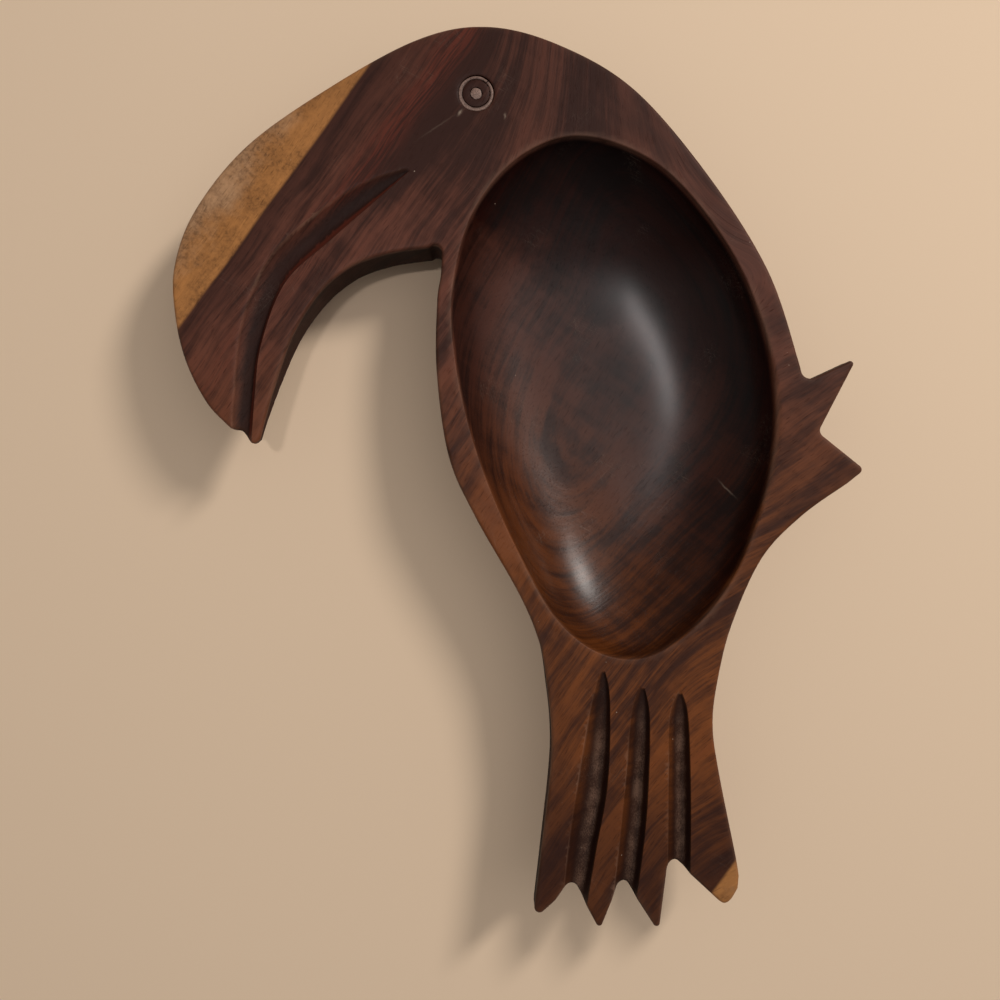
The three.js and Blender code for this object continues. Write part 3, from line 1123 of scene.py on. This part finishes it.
class Signal:
    """A value in a node tree, worked with like a number, a vector or a colour."""

    def __init__(self, board: "Board", socket: bpy.types.NodeSocket) -> None:
        """Keeps the board that the value is on and the socket that gives it."""
        self.board, self.socket = board, socket

    def __add__(self, other: "Value") -> "Signal":
        """Sum."""
        return self.board.math("ADD", self, other)

    def __sub__(self, other: "Value") -> "Signal":
        """Difference."""
        return self.board.math("SUBTRACT", self, other)

    def __mul__(self, other: "Value") -> "Signal":
        """Product."""
        return self.board.math("MULTIPLY", self, other)

    def most(self, other: "Value") -> "Signal":
        """The larger of two values."""
        return self.board.math("MAXIMUM", self, other)

    def diagonal(self, other: "Value") -> "Signal":
        """Root of the sum of both squares."""
        return self.board.math("SQRT", self * self + other * other)

    def ramp(self, low: float, high: float, to_low: float = 0.0, to_high: float = 1.0) -> "Signal":
        """Soft step: a range turned into another range, held at its ends."""
        feeds = dict(enumerate((self, low, high, to_low, to_high)))
        return self.board.value("ShaderNodeMapRange", feeds, interpolation_type="SMOOTHSTEP")

    def bell(self, middle: float, width: float) -> "Signal":
        """Bell of height 1 round a middle value."""
        away = (self - middle) * (1 / width)
        return self.board.math("EXPONENT", away * away * -1)

    def toward(self, colour: "Value", share: "Value", blend: str = "MIX") -> "Signal":
        """Colour that is a share of the way to another one."""
        return self.board.mix(share, self, colour, blend)

    def stretched(self, by: Triple) -> "Signal":
        """Vector with each part multiplied."""
        return self.board.value("ShaderNodeVectorMath", {0: self, 1: by}, operation="MULTIPLY")

    def turned(self, angle: float, centre: Pair = (0, 0)) -> "Signal":
        """Vector turned in the plan round a centre, by an angle in radians."""
        feeds = {"Vector": self, "Center": (*centre, 0), "Angle": angle}
        return self.board.value("ShaderNodeVectorRotate", feeds, rotation_type="Z_AXIS")

    def parts(self) -> tuple["Signal", ...]:
        """The three parts of a vector."""
        node = self.board.node("ShaderNodeSeparateXYZ", {0: self})
        return tuple(Signal(self.board, socket) for socket in node.outputs)


Value = Signal | float | Sequence[float]
Signals = dict[str, Signal]


class Board:
    """The nodes of one tree, added and linked by short calls."""

    def __init__(self, tree: bpy.types.NodeTree) -> None:
        """Works on a node tree."""
        self.tree = tree

    def node(
        self, kind: str, feeds: dict[str | int, Value] | None = None, **settings: object
    ) -> bpy.types.Node:
        """Adds a node.

        Args:
            kind: the node's type.
            feeds: what its inputs get, by their name or number.
            settings: its properties by name.

        Returns:
            The node.
        """
        node = self.tree.nodes.new(kind)
        for name, setting in settings.items():
            setattr(node, name, setting)
        for key, value in (feeds or {}).items():
            self.feed(node.inputs[key], value)
        return node

    def feed(self, socket: bpy.types.NodeSocket, value: Value) -> None:
        """Links an input to a signal, or sets its own value.

        Args:
            socket: the input.
            value: a signal, a number, a vector or a colour.
        """
        if isinstance(value, Signal):
            self.tree.links.new(value.socket, socket)
        elif isinstance(value, (int, float)):
            socket.default_value = value
        else:
            socket.default_value = (*value, 1) if len(socket.default_value) > len(value) else value

    def value(self, kind: str, feeds: dict[str | int, Value] | None = None, output: int | str = 0,
              **settings: object) -> Signal:
        """Adds a node as node() does, and gives one of its outputs."""
        return Signal(self, self.node(kind, feeds, **settings).outputs[output])

    def math(self, operation: str, *values: Value) -> Signal:
        """Number worked out from others."""
        return self.value("ShaderNodeMath", dict(enumerate(values)), operation=operation)

    def mix(self, share: Value, first: Value, second: Value, blend: str = "MIX") -> Signal:
        """Colour between two others."""
        feeds = {0: share, 6: first, 7: second}
        return self.value("ShaderNodeMix", feeds, 2, data_type="RGBA", blend_type=blend)

    def join(self, x: Value, y: Value, z: Value) -> Signal:
        """Vector from its parts."""
        return self.value("ShaderNodeCombineXYZ", {0: x, 1: y, 2: z})

    def noise(self, place: Signal, scale: float, detail: float = 2.0, rough: float = 0.5) -> Signal:
        """Cloudy number from 0 to 1."""
        feeds = {"Vector": place, "Scale": scale, "Detail": detail, "Roughness": rough}
        return self.value("ShaderNodeTexNoise", feeds)

    def place(self) -> Signal:
        """Place on the bowl, in millimetres."""
        return self.value("ShaderNodeTexCoord", output="Object").stretched((1 / MM, 1 / MM, 1 / MM))


class Effect:
    """A shader node group that finishes share, built when it is first used."""

    title: ClassVar[str]
    inputs: ClassVar[tuple[str, ...]] = ()
    outputs: ClassVar[tuple[str, ...]]
    vectors: ClassVar[tuple[str, ...]] = ("Grain", "Fibre")
    built: ClassVar[dict[str, bpy.types.NodeTree]] = {}

    def fill(self, board: Board, inputs: Signals) -> Signals:
        """Adds the group's nodes and gives the value of each output."""
        raise NotImplementedError

    def group(self) -> bpy.types.NodeTree:
        """Makes the group, or finds it when it is there already.

        Returns:
            Its node tree.
        """
        if self.title not in self.built:
            tree = bpy.data.node_groups.new(self.title, "ShaderNodeTree")
            for side, names in (("INPUT", self.inputs), ("OUTPUT", self.outputs)):
                for name in names:
                    kind = "NodeSocketVector" if name in self.vectors else "NodeSocketFloat"
                    tree.interface.new_socket(name=name, in_out=side, socket_type=kind)
            board = Board(tree)
            start, end = board.node("NodeGroupInput"), board.node("NodeGroupOutput")
            given = {name: Signal(board, start.outputs[name]) for name in self.inputs}
            for name, value in self.fill(board, given).items():
                board.feed(end.inputs[name], value)
            self.built[self.title] = tree
        return self.built[self.title]

    def on(self, board: Board, feeds: Signals | None = None) -> Signals:
        """Places the group on a board and gives its outputs by name."""
        node = board.node("ShaderNodeGroup", feeds, node_tree=self.group())
        return {name: Signal(board, node.outputs[name]) for name in self.outputs}


@dataclass(frozen=True)
class GrowthRings(Effect):
    """Growth rings of the log that the plank was sawn from, with its sapwood on the outside."""

    title = "growth_rings"
    outputs = ("Ring", "Grain", "Fibre", "Side", "Sapwood", "Heart Edge", "Sap Depth")
    across: Pair = (0.809, -0.588)
    along: Pair = (0.588, 0.809)
    pith_across: float = 8
    pith_height: float = -30
    sapwood_across: float = 144
    plank_top: float = 38
    sway: Cloud = (0.014, 2)
    grain_sway: float = 10
    sapwood_sway: float = 4
    wing_bend: float = 0.5
    wing_start: float = 60
    nape_bend: Ramp = (-20, 80, 0, 1.25)
    nape_start: float = 75
    bend_blend: float = 13
    turn_length: float = 60
    sharpness: float = 0.7
    heart_edge: float = 10
    sapwood_width: float = 30

    def past(self, value: Signal, start: float) -> Signal:
        """Distance past a start, with a soft foot."""
        distance = value - start
        return (distance + distance.diagonal(self.bend_blend)) * 0.5

    def fill(self, board: Board, inputs: Signals) -> Signals:
        """Adds the group's nodes.

        Args:
            board: the group's board.
            inputs: not used; the group has none.

        Returns:
            The outputs by name.
        """
        place = board.place()
        x, y, z = place.parts()
        sway = board.noise(place, *self.sway) - 0.5
        across, along = (x * run[0] + y * run[1] for run in (self.across, self.along))
        wing = self.past(x, self.wing_start) * self.wing_bend
        nape = self.past(y, self.nape_start) * x.ramp(*self.nape_bend)
        bent = across + sway * self.grain_sway - wing + nape
        side, depth = bent - self.pith_across, z - self.pith_height
        outer = (across + sway * self.sapwood_sway - self.pith_across).diagonal(depth)
        ring = side.diagonal(depth)
        limit = math.hypot(self.sapwood_across, self.plank_top - self.pith_height)
        return {
            "Ring": ring,
            "Grain": board.join(ring, along, board.math("ARCTAN2", depth, side) * self.turn_length),
            "Fibre": board.join(bent, along, z),
            "Side": side,
            "Sapwood": outer.ramp(limit - self.sharpness, limit + self.sharpness),
            "Heart Edge": outer.ramp(limit - self.heart_edge, limit - 1) * outer.ramp(limit + 1, limit),
            "Sap Depth": outer.ramp(limit, limit + self.sapwood_width),
        }


@dataclass(frozen=True)
class Streak:
    """One kind of streak: noise drawn out along the grain or the fibre."""

    along: str
    stretch: Triple
    detail: float
    contrast: Pair


@dataclass(frozen=True)
class Streaks(Effect):
    """Colour streaks and pores drawn out along the grain."""

    title = "grain_streaks"
    inputs = ("Grain", "Fibre")
    outputs = ("Broad", "Middle", "Fine", "Hair", "Curl", "Pores")
    kinds: tuple[Streak, ...] = (
        Streak("Grain", (0.07, 0.008, 0.012), 2, (0.30, 0.70)),
        Streak("Grain", (0.38, 0.022, 0.03), 3, (0.28, 0.72)),
        Streak("Grain", (1.15, 0.055, 0.07), 2, (0.25, 0.75)),
        Streak("Fibre", (2.4, 0.12, 2.4), 2, (0.3, 0.7)),
        Streak("Fibre", (0.03, 0.15, 0.05), 2, (0.3, 0.7)),
        Streak("Fibre", (3.4, 0.20, 3.4), 1, (0.62, 0.74)),
    )
    rough: float = 0.55

    def drawn(self, board: Board, run: Signal, kind: Streak) -> Signal:
        """One kind of streak along a run."""
        return board.noise(run.stretched(kind.stretch), 1, kind.detail, self.rough).ramp(*kind.contrast)

    def fill(self, board: Board, inputs: Signals) -> Signals:
        """Adds the group's nodes."""
        kinds = zip(self.outputs, self.kinds)
        return {name: self.drawn(board, inputs[kind.along], kind) for name, kind in kinds}


@dataclass(frozen=True)
class Handling(Effect):
    """What years of use leave on a surface: rubbed patches, flecks of dust and fine scratches."""

    title = "signs_of_use"
    outputs = ("Rubbed", "Flecks", "Scratches", "Grit")
    rubbed: tuple[Cloud, Pair] = ((0.035, 4, 0.6), (0.35, 0.65))
    grit: tuple[Cloud, Pair] = ((0.9, 3, 0.7), (0.45, 0.75))
    fleck_patches: tuple[Cloud, Pair] = ((0.09, 1), (0.55, 0.6))
    fleck_scale: float = 0.16
    fleck_size: Pair = (0.045, 0.0225)
    scratch_patches: tuple[Cloud, Pair] = ((0.05, 2), (0.58, 0.7))
    scratch_turns: tuple[float, ...] = (0.5, 1.25, 2.3)
    scratch_stretch: Triple = (0.03, 1.4, 0.3)
    scratch_width: float = 0.006
    scratch_shift: float = 0.04

    def fill(self, board: Board, inputs: Signals) -> Signals:
        """Adds the group's nodes.

        Args:
            board: the group's board.
            inputs: not used; the group has none.

        Returns:
            The outputs by name.
        """
        place = board.place()
        rubbed, grit, fleck_patches, scratch_patches = (
            board.noise(place, *cloud).ramp(*contrast)
            for cloud, contrast in (self.rubbed, self.grit, self.fleck_patches, self.scratch_patches)
        )
        points = board.value("ShaderNodeTexVoronoi", {"Vector": place, "Scale": self.fleck_scale}, "Distance")
        scratches = None
        for turn in self.scratch_turns:
            lines = board.noise(place.turned(turn).stretched(self.scratch_stretch), 1, 1)
            line = lines.bell(0.5 + self.scratch_shift * turn, self.scratch_width)
            scratches = scratches.most(line) if scratches else line
        return {
            "Rubbed": rubbed,
            "Flecks": points.ramp(*self.fleck_size) * fleck_patches,
            "Scratches": scratches * scratch_patches,
            "Grit": grit,
        }


@dataclass(frozen=True)
class Nick:
    """A short mark in the upper surface: chip, scratch or pit."""

    middle: Pair
    size: Pair
    turn: float
    strength: float
    lowest: float = 30
    waver: Cloud = (0.6, 2)
    waver_width: float = 3

    def mask(self, board: Board, place: Signal) -> Signal:
        """How strongly the mark shows at each place.

        Args:
            board: the finish's board.
            place: place on the bowl.

        Returns:
            Its strength, 0 away from it.
        """
        x, y, z = place.turned(-self.turn, self.middle).parts()
        waver = (board.noise(place, *self.waver) - 0.5) * (self.size[1] * self.waver_width)
        shape = x.bell(self.middle[0], self.size[0]) * (y + waver).bell(self.middle[1], self.size[1])
        return shape * z.ramp(self.lowest - 1, self.lowest, 0, self.strength)


class Surface:
    """A new material with a board on its nodes, and what its finish is worked out from."""

    def __init__(self, name: str) -> None:
        """Makes the material, with its place on the bowl and the signs of use.

        Args:
            name: the material's name.
        """
        self.material = bpy.data.materials.new(name)
        self.material.use_nodes = True
        self.board = Board(self.material.node_tree)
        self.place = self.board.place()
        self.x, self.y, _ = self.place.parts()
        self.use = Handling().on(self.board)

    def finish(self, colour: Signal, roughness: Signal, height: Signal, distance: float) -> bpy.types.Node:
        """Feeds the surface shader.

        Args:
            colour: base colour.
            roughness: how matt it is.
            height: relief.
            distance: metres of relief for a height of 1.

        Returns:
            The shader.
        """
        shader = self.material.node_tree.nodes["Principled BSDF"]
        relief = self.board.value("ShaderNodeBump", {"Strength": 1.0, "Distance": distance, "Height": height})
        for name, value in (("Base Color", colour), ("Roughness", roughness), ("Normal", relief)):
            self.board.feed(shader.inputs[name], value)
        return shader


class Timber(Surface):
    """The surface of the wood, with its growth rings, its streaks and the marks of the mesh."""

    def __init__(self, name: str) -> None:
        """Adds the rings and streaks and reads the marks.

        Args:
            name: the material's name.
        """
        super().__init__(name)
        self.rings = GrowthRings().on(self.board)
        self.streaks = Streaks().on(self.board, {run: self.rings[run] for run in Streaks.inputs})
        self.edge, self.bowl, self.groove, self.floor, self.sawn, self.crisp = (
            self.board.value("ShaderNodeAttribute", output="Fac", attribute_name=mark.value) for mark in Mark
        )


@dataclass(frozen=True)
class HeartwoodFinish:
    """Dark streaked heartwood with pale sapwood, rubbed with wax."""

    dark: Triple = paint(42, 18, 11)
    # Colour of the painted shade in the grooves.
    hollow: Triple = paint(30, 10, 5)
    purple_and_sheen: Triple = paint(101, 58, 44)
    brown: Triple = paint(121, 66, 27)
    red: Triple = paint(98, 42, 28)
    sap_gold: Triple = paint(182, 124, 69)
    sap_tan: Triple = paint(190, 147, 108)
    sap_dark: Triple = paint(70, 42, 24)
    wear_and_highlight: Triple = paint(150, 116, 96)
    dust: Triple = paint(190, 170, 150)
    brown_side: Ramp = (70, -50)
    tone: tuple[tuple[str, float], ...] = (("Broad", 0.42), ("Middle", 0.46), ("Fine", 0.24), ("Hair", 0.13))
    curl: Ramp = (0, 1, 0.12, 0.3)
    head: Ramp = (92, 118)
    head_bands: tuple[Triple, ...] = ((-111, 9, 0.5), (-88, 6, 0.25), (-28, 24, 0.5))
    contrast: Ramp = (0.17, 1.00, 0.10, 1)
    bowl_calm: float = 0.12
    rosy: tuple[Ramp, Ramp, float] = ((0.55, 1.0), (0.4, 1), 0.16)
    # Darker towards the crown and the wing; towards the tail and its lower left flank the darkening is
    # painted shade.
    dim_ends: tuple[Ramp, Ramp] = ((108, 140, 0, 0.4), (-95, -150, 0, 0.52))
    dim_wing: Ramp = (90, 115, 0, 0.22)
    flank_painted_shade: tuple[Ramp, Ramp] = ((34, 12, 0, 0.22), (-70, -100))
    streak: Pair = (140.5, 4.5)
    streak_side: Ramp = (-60, -90)
    streak_break: Ramp = (0.2, 0.8, 0.15, 1)
    streak_run: Ramp = (60, 130, 0.3, 1)
    streak_share: float = 0.75
    heart_edge: float = 0.6
    sap_cloud: tuple[Cloud, float, Ramp] = ((0.05, 4, 0.65), 0.8, (0.62, 1.05))
    sap_grime: tuple[Cloud, float, Ramp] = ((0.07, 5, 0.7), 0.2, (0.42, 0.64))
    sap_speckle: tuple[Cloud, Ramp] = ((0.55, 6, 0.8), (0.42, 0.62))
    sap_shares: Triple = (0.52, 0.2, 0.2)
    sap_grit: float = 0.35
    sap_ends: tuple[Ramp, Ramp] = ((118, 150, 0, 0.16), (-60, -140, 0, 0.16))
    pores: float = 0.5
    # Painted shade over the bowl's crown, right and left walls and the upright sawn sides, partly the bowl's
    # darker heartwood.
    painted_shade_tint: Triple = (0.12, 0.04, 0.01)
    painted_shade_cloud: tuple[Cloud, float] = ((0.035, 4, 0.6), 90)
    painted_shade_crown: tuple[float, Ramp] = (0.9, (80, 155))
    painted_shade_right: tuple[float, Ramp] = (0.4, (12, 75, 0.44, 0.9))
    painted_shade_left: Ramp = (-4, -20, 0, 0.35)
    painted_shade_sides: float = 0.85
    groove_shade: float = 0.9
    # Painted light: the mouth's crisp wall in red, as if lit.
    crisp_wall_painted_light: Ramp = (0, 20, 0, 0.7)
    # Pale on the tail grooves' floors: dust, with a painted sheen where the floors face up.
    dust_and_sheen_span: Ramp = (-82, -104)
    dust_and_sheen_stretch: Triple = (1, 0.6, 1)
    dust_and_sheen_grains: tuple[Cloud, Cloud, float] = ((2.2, 4, 0.75), (0.16, 2), 0.8)
    dust_and_sheen_share: Ramp = (0.74, 1.12, 0.06, 0.4)
    # Pale on the edge mark: wear, with painted highlights along the rim and the grooves' soft banks.
    edge_wear_and_highlight: Ramp = (0, 1, 0.05, 0.22)
    flecks: float = 0.7
    scratches: float = 0.08
    chips: tuple[Nick, ...] = (
        Nick((-21.6, 137.2), (1.1, 0.45), 0.8, 0.42),
        Nick((-29.9, 132.1), (6.5, 0.28), 0.59, 0.07),
        Nick((-4.6, 135.9), (0.9, 0.4), 1.5, 0.3),
        Nick((82.8, -4.6), (3.2, 0.3), -0.9, 0.22, lowest=15),
    )
    # A small pit in the bowl: a dent in the relief, painted dark for its shade.
    pit: Nick = Nick((54.9, 45.6), (1.0, 0.8), 1.2, 0.85, lowest=8)
    roughness: Ramp = (0, 1, 0.50, 0.58)
    matt_sap: float = 0.12
    matt_sawn: float = 0.2
    matt_groove: float = 0.08
    matt_pores: float = 0.15
    bowl_roughness: Ramp = (-10, 30, -0.22, -0.04)
    coat: tuple[Ramp, Ramp] = ((-10, 30, 0.22, 0.34), (70, 95, 1, 0))
    coat_roughness: float = 0.24
    shine: float = 0.18
    scraped: tuple[Cloud, float] = ((0.28, 4, 0.6), 1.2)
    uneven: tuple[Cloud, float] = ((0.05, 1), 9)
    grit_height: float = 0.8
    pore_height: float = -0.7
    fine_height: float = 0.3
    scratch_height: float = -0.25
    pit_height: float = -6
    bump_height: float = 0.00006

    def heart(self, wood: Timber) -> Signal:
        """Colour of the heartwood.

        Args:
            wood: the wood's surface.

        Returns:
            The colour.
        """
        x, y, rings, streaks = wood.x, wood.y, wood.rings, wood.streaks
        tone = (streaks["Curl"] - 0.5) * wood.bowl.ramp(*self.curl)
        for name, share in self.tone:
            tone = tone + streaks[name] * share
        for middle, width, depth in self.head_bands:
            tone = tone - rings["Side"].bell(middle, width) * y.ramp(*self.head) * depth
        tone, calm = tone.ramp(*self.contrast), wood.bowl * self.bowl_calm
        tone = tone - tone * calm + calm * 0.5
        # Purple towards the head, brown towards the tail: the wood's own tone, with a painted sheen in the
        # head's purple.
        body = wood.board.mix(y.ramp(*self.brown_side), self.purple_and_sheen, self.brown)
        middle, broad, share = self.rosy
        rosy = streaks["Middle"].ramp(*middle) * streaks["Broad"].ramp(*broad) * share
        colour = wood.board.mix(tone, self.dark, body).toward(self.red, rosy)
        # Darker towards the crown and the wing; towards the tail and its lower left flank this is painted
        # shade where the light falls off.
        crown, tail = (y.ramp(*end) for end in self.dim_ends)
        flank = x.ramp(*self.flank_painted_shade[0]) * y.ramp(*self.flank_painted_shade[1])
        colour = colour.toward(self.dark, crown + tail + x.ramp(*self.dim_wing) + flank)
        streak = rings["Ring"].bell(*self.streak) * rings["Side"].ramp(*self.streak_side)
        streak = streak * streaks["Fine"].ramp(*self.streak_break) * y.ramp(*self.streak_run)
        colour = colour.toward(self.red, streak * self.streak_share)
        return colour.toward(self.dark, rings["Heart Edge"] * self.heart_edge)

    def sap(self, wood: Timber) -> Signal:
        """Colour of the sapwood.

        Args:
            wood: the wood's surface.

        Returns:
            The colour.
        """
        cloud, grime = (
            (wood.rings["Sap Depth"] * share + wood.board.noise(wood.place, *noise)).ramp(*contrast)
            for noise, share, contrast in (self.sap_cloud, self.sap_grime)
        )
        noise, contrast = self.sap_speckle
        speckle = wood.board.noise(wood.place, *noise).ramp(*contrast) * grime
        speckle = speckle.most(wood.use["Grit"] * self.sap_grit)
        colour = wood.board.mix(cloud, self.sap_gold, self.sap_tan)
        for mask, share in zip((speckle, grime, wood.streaks["Fine"]), self.sap_shares):
            colour = colour.toward(self.sap_dark, mask * share)
        tip, tail = (wood.y.ramp(*end) for end in self.sap_ends)
        return colour.toward(self.sap_dark, tip + tail)

    def depth(self, wood: Timber) -> Signal:
        """How far the bowl and the sawn sides are darkened: painted shade, in the bowl partly its own darker
        heartwood.

        Args:
            wood: the wood's surface.

        Returns:
            A share from 0 to 1.
        """
        (noise, width), (slant, crown), (lean, right) = self.painted_shade_cloud, self.painted_shade_crown, self.painted_shade_right
        cloud = wood.board.noise(wood.place, *noise) * width
        shade = (wood.x * slant + wood.y + cloud).ramp(*crown)
        shade = shade.most((wood.y * lean + wood.x).ramp(*right)) + wood.x.ramp(*self.painted_shade_left)
        return (wood.bowl * shade).most(wood.sawn * self.painted_shade_sides)

    def dust_and_sheen_mask(self, wood: Timber) -> Signal:
        """Where the bottoms of the tail grooves are painted pale: dust, with a painted sheen.

        Args:
            wood: the wood's surface.

        Returns:
            A share from 0 to 1.
        """
        fine, broad, share = self.dust_and_sheen_grains
        grains = wood.board.noise(wood.place.stretched(self.dust_and_sheen_stretch), *fine)
        grains = grains + wood.board.noise(wood.place, *broad) * share
        return wood.floor * wood.y.ramp(*self.dust_and_sheen_span) * grains.ramp(*self.dust_and_sheen_share)

    def material(self) -> bpy.types.Material:
        """Makes the wood.

        Returns:
            The material.
        """
        wood = Timber("waxed_heartwood")
        board, y, use, streaks = wood.board, wood.y, wood.use, wood.streaks
        specks = (use["Flecks"] * self.flecks).most(use["Scratches"] * self.scratches)
        for chip in self.chips:
            specks = specks.most(chip.mask(board, wood.place))
        pit = self.pit.mask(board, wood.place)
        colour = self.heart(wood).toward(self.sap(wood), wood.rings["Sapwood"])
        colour = colour.toward(self.dark, streaks["Pores"] * self.pores)
        # Painted shade in the bowl and on the sawn sides, partly the bowl's darker heartwood.
        colour = colour.toward(self.painted_shade_tint, self.depth(wood), "MULTIPLY")
        for paint_over, mask in (
            # Painted light: the mouth's crisp wall in red, as if lit.
            # Painted shade in the grooves.
            (self.hollow, wood.groove * self.groove_shade), (self.red, wood.crisp * y.ramp(*self.crisp_wall_painted_light)),
            # Pale dust with painted sheen on the tail grooves' floors.
            # Pale wear with painted highlights on the edge mark.
            (self.wear_and_highlight, self.dust_and_sheen_mask(wood)), (self.wear_and_highlight, wood.edge * use["Rubbed"].ramp(*self.edge_wear_and_highlight)),
            # Painted shade: the pit darkened.
            (self.dust, specks), (self.dark, pit),
        ):
            colour = colour.toward(paint_over, mask)
        rough = use["Rubbed"].ramp(*self.roughness) + wood.bowl * y.ramp(*self.bowl_roughness)
        for mask, more in (
            (wood.rings["Sapwood"], self.matt_sap), (wood.sawn, self.matt_sawn),
            (wood.groove, self.matt_groove), (streaks["Pores"], self.matt_pores),
        ):
            rough = rough + mask * more
        height = use["Grit"] * wood.groove * self.grit_height
        for mask, more in (
            (streaks["Pores"], self.pore_height), (streaks["Fine"], self.fine_height),
            (use["Scratches"], self.scratch_height), (pit, self.pit_height),
        ):
            height = height + mask * more
        for noise, more in (self.scraped, self.uneven):
            height = height + board.noise(wood.place, *noise) * wood.bowl * more
        shader = wood.finish(colour, rough, height, self.bump_height)
        below, above = (y.ramp(*ends) for ends in self.coat)
        board.feed(shader.inputs["Coat Weight"], below * above * wood.bowl)
        shader.inputs["Coat Roughness"].default_value = self.coat_roughness
        shader.inputs["Specular IOR Level"].default_value = self.shine
        return wood.material


@dataclass(frozen=True)
class InlayFinish:
    """Pale inlay, matt, with darkened wax in its hollows."""

    name: str
    pale: Triple = paint(152, 124, 112)
    tan: Triple = paint(122, 96, 84)
    grime: Triple = paint(64, 43, 36)
    cloud: tuple[Cloud, Pair] = ((0.55, 3, 0.6), (0.3, 0.7))
    specks: tuple[Cloud, Pair] = ((2.2, 2, 0.6), (0.56, 0.7))
    waxed: Pair = (6.4, 5.3)
    speck_share: float = 0.6
    grit_share: float = 0.35
    wax_share: float = 0.7
    roughness: Ramp = (0, 1, 0.45, 0.62)
    bump_height: float = 0.00012

    def material(self) -> bpy.types.Material:
        """Makes the inlay.

        Returns:
            The material.
        """
        face = Surface(self.name)
        cloud, specks = (
            face.board.noise(face.place, *noise).ramp(*contrast)
            for noise, contrast in (self.cloud, self.specks)
        )
        waxed = (face.x - EYE[0]).diagonal(face.y - EYE[1]).ramp(*self.waxed)
        colour = face.board.mix(cloud, self.tan, self.pale)
        for mask, share in (
            (specks, self.speck_share), (face.use["Grit"], self.grit_share), (waxed, self.wax_share),
        ):
            colour = colour.toward(self.grime, mask * share)
        face.finish(colour, cloud.ramp(*self.roughness), cloud - specks, self.bump_height)
        return face.material


@dataclass(frozen=True)
class SoftLight:
    """An oval area light that hangs in a direction from the bowl and faces its middle."""

    name: str
    direction: Triple
    distance: float
    size: Pair
    power: float
    colour: Triple

    def hang(self) -> None:
        """Makes the light."""
        data = bpy.data.lights.new(self.name, "AREA")
        data.shape = "ELLIPSE"
        data.size, data.size_y = self.size
        data.energy = self.power
        data.color = self.colour
        lamp = linked(self.name, data)
        away = Vector(self.direction).normalized()
        lamp.location = away * self.distance
        lamp.rotation_euler = away.to_track_quat("Z", "Y").to_euler()


@dataclass(frozen=True)
class Studio:
    """Plain pale floor, soft light and the camera above the bowl."""

    floor_size: float = 3.0
    floor_height: float = -0.0001
    floor_colour: Triple = (0.84, 0.655, 0.475)
    floor_roughness: float = 0.9
    floor_shine: float = 0.1
    camera_place: Triple = (-0.0065, -0.0089, 0.415)
    lens: float = 36
    sensor: float = 36
    sky_colour: Triple = (1.0, 0.95, 0.9)
    sky_strength: float = 0.22
    lights: tuple[SoftLight, ...] = (
        SoftLight("key", (0.55, 0.49, 0.68), 1.5, (0.22, 0.40), 10.8, (1.0, 0.94, 0.88)),
        SoftLight("ceiling", (0.36, 0.08, 0.93), 1.5, (1.1, 1.1), 1.9, (1.0, 0.95, 0.94)),
        SoftLight("lamp", (-0.08, 0.045, 1.0), 1.4, (0.05, 0.10), 2.5, (1.0, 0.95, 0.94)),
    )

    def floor(self) -> None:
        """Makes the floor."""
        bm = bmesh.new()
        bmesh.ops.create_grid(bm, x_segments=1, y_segments=1, size=self.floor_size)
        mesh = bpy.data.meshes.new("floor")
        bm.to_mesh(mesh)
        bm.free()
        floor = linked("floor", mesh)
        floor.location.z = self.floor_height
        material = bpy.data.materials.new("pale_floor")
        material.use_nodes = True
        shader = material.node_tree.nodes["Principled BSDF"]
        shader.inputs["Base Color"].default_value = (*self.floor_colour, 1)
        shader.inputs["Roughness"].default_value = self.floor_roughness
        shader.inputs["Specular IOR Level"].default_value = self.floor_shine
        mesh.materials.append(material)

    def camera(self) -> None:
        """Makes the camera, which looks straight down with the head at the top of the picture."""
        data = bpy.data.cameras.new("camera")
        data.lens = self.lens
        data.sensor_width = self.sensor
        camera = linked("camera", data)
        camera.location = self.camera_place
        camera.rotation_euler = Euler((0, 0, 0))
        bpy.context.scene.camera = camera

    def sky(self) -> None:
        """Sets the even light from all round."""
        world = bpy.data.worlds.new("studio")
        world.use_nodes = True
        background = world.node_tree.nodes["Background"]
        background.inputs["Color"].default_value = (*self.sky_colour, 1)
        background.inputs["Strength"].default_value = self.sky_strength
        bpy.context.scene.world = world

    def build(self) -> None:
        """Makes the floor, the lights and the camera."""
        self.floor()
        self.sky()
        for light in self.lights:
            light.hang()
        self.camera()
        view = bpy.context.scene.view_settings
        view.view_transform = "Standard"
        view.look = "None"


def dress(obj: bpy.types.Object, node: Node, material: bpy.types.Material) -> None:
    """Puts a finished piece in the place of its frame node.

    Args:
        obj: the piece.
        node: the frame's node that it stands for.
        material: its finish.
    """
    obj.data.materials.append(material)
    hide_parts(node.value)
    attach(obj, "root")
    LOG.info("%s stands for %s with %d faces", obj.name, node.value, len(obj.data.polygons))


def main() -> None:
    """Builds the bowl's pieces, dresses them and sets up the studio."""
    logging.basicConfig(level=logging.INFO, format="%(message)s")
    dress(CarvedBody().build(), Node.BODY, HeartwoodFinish().material())
    dress(EyeRing().build(), Node.RING, InlayFinish("pale_ring").material())
    dress(EyePupil().build(), Node.PUPIL, InlayFinish("pale_peg", waxed=(1.7, 2.4)).material())
    Studio().build()


if __name__ == "__main__":
    main()
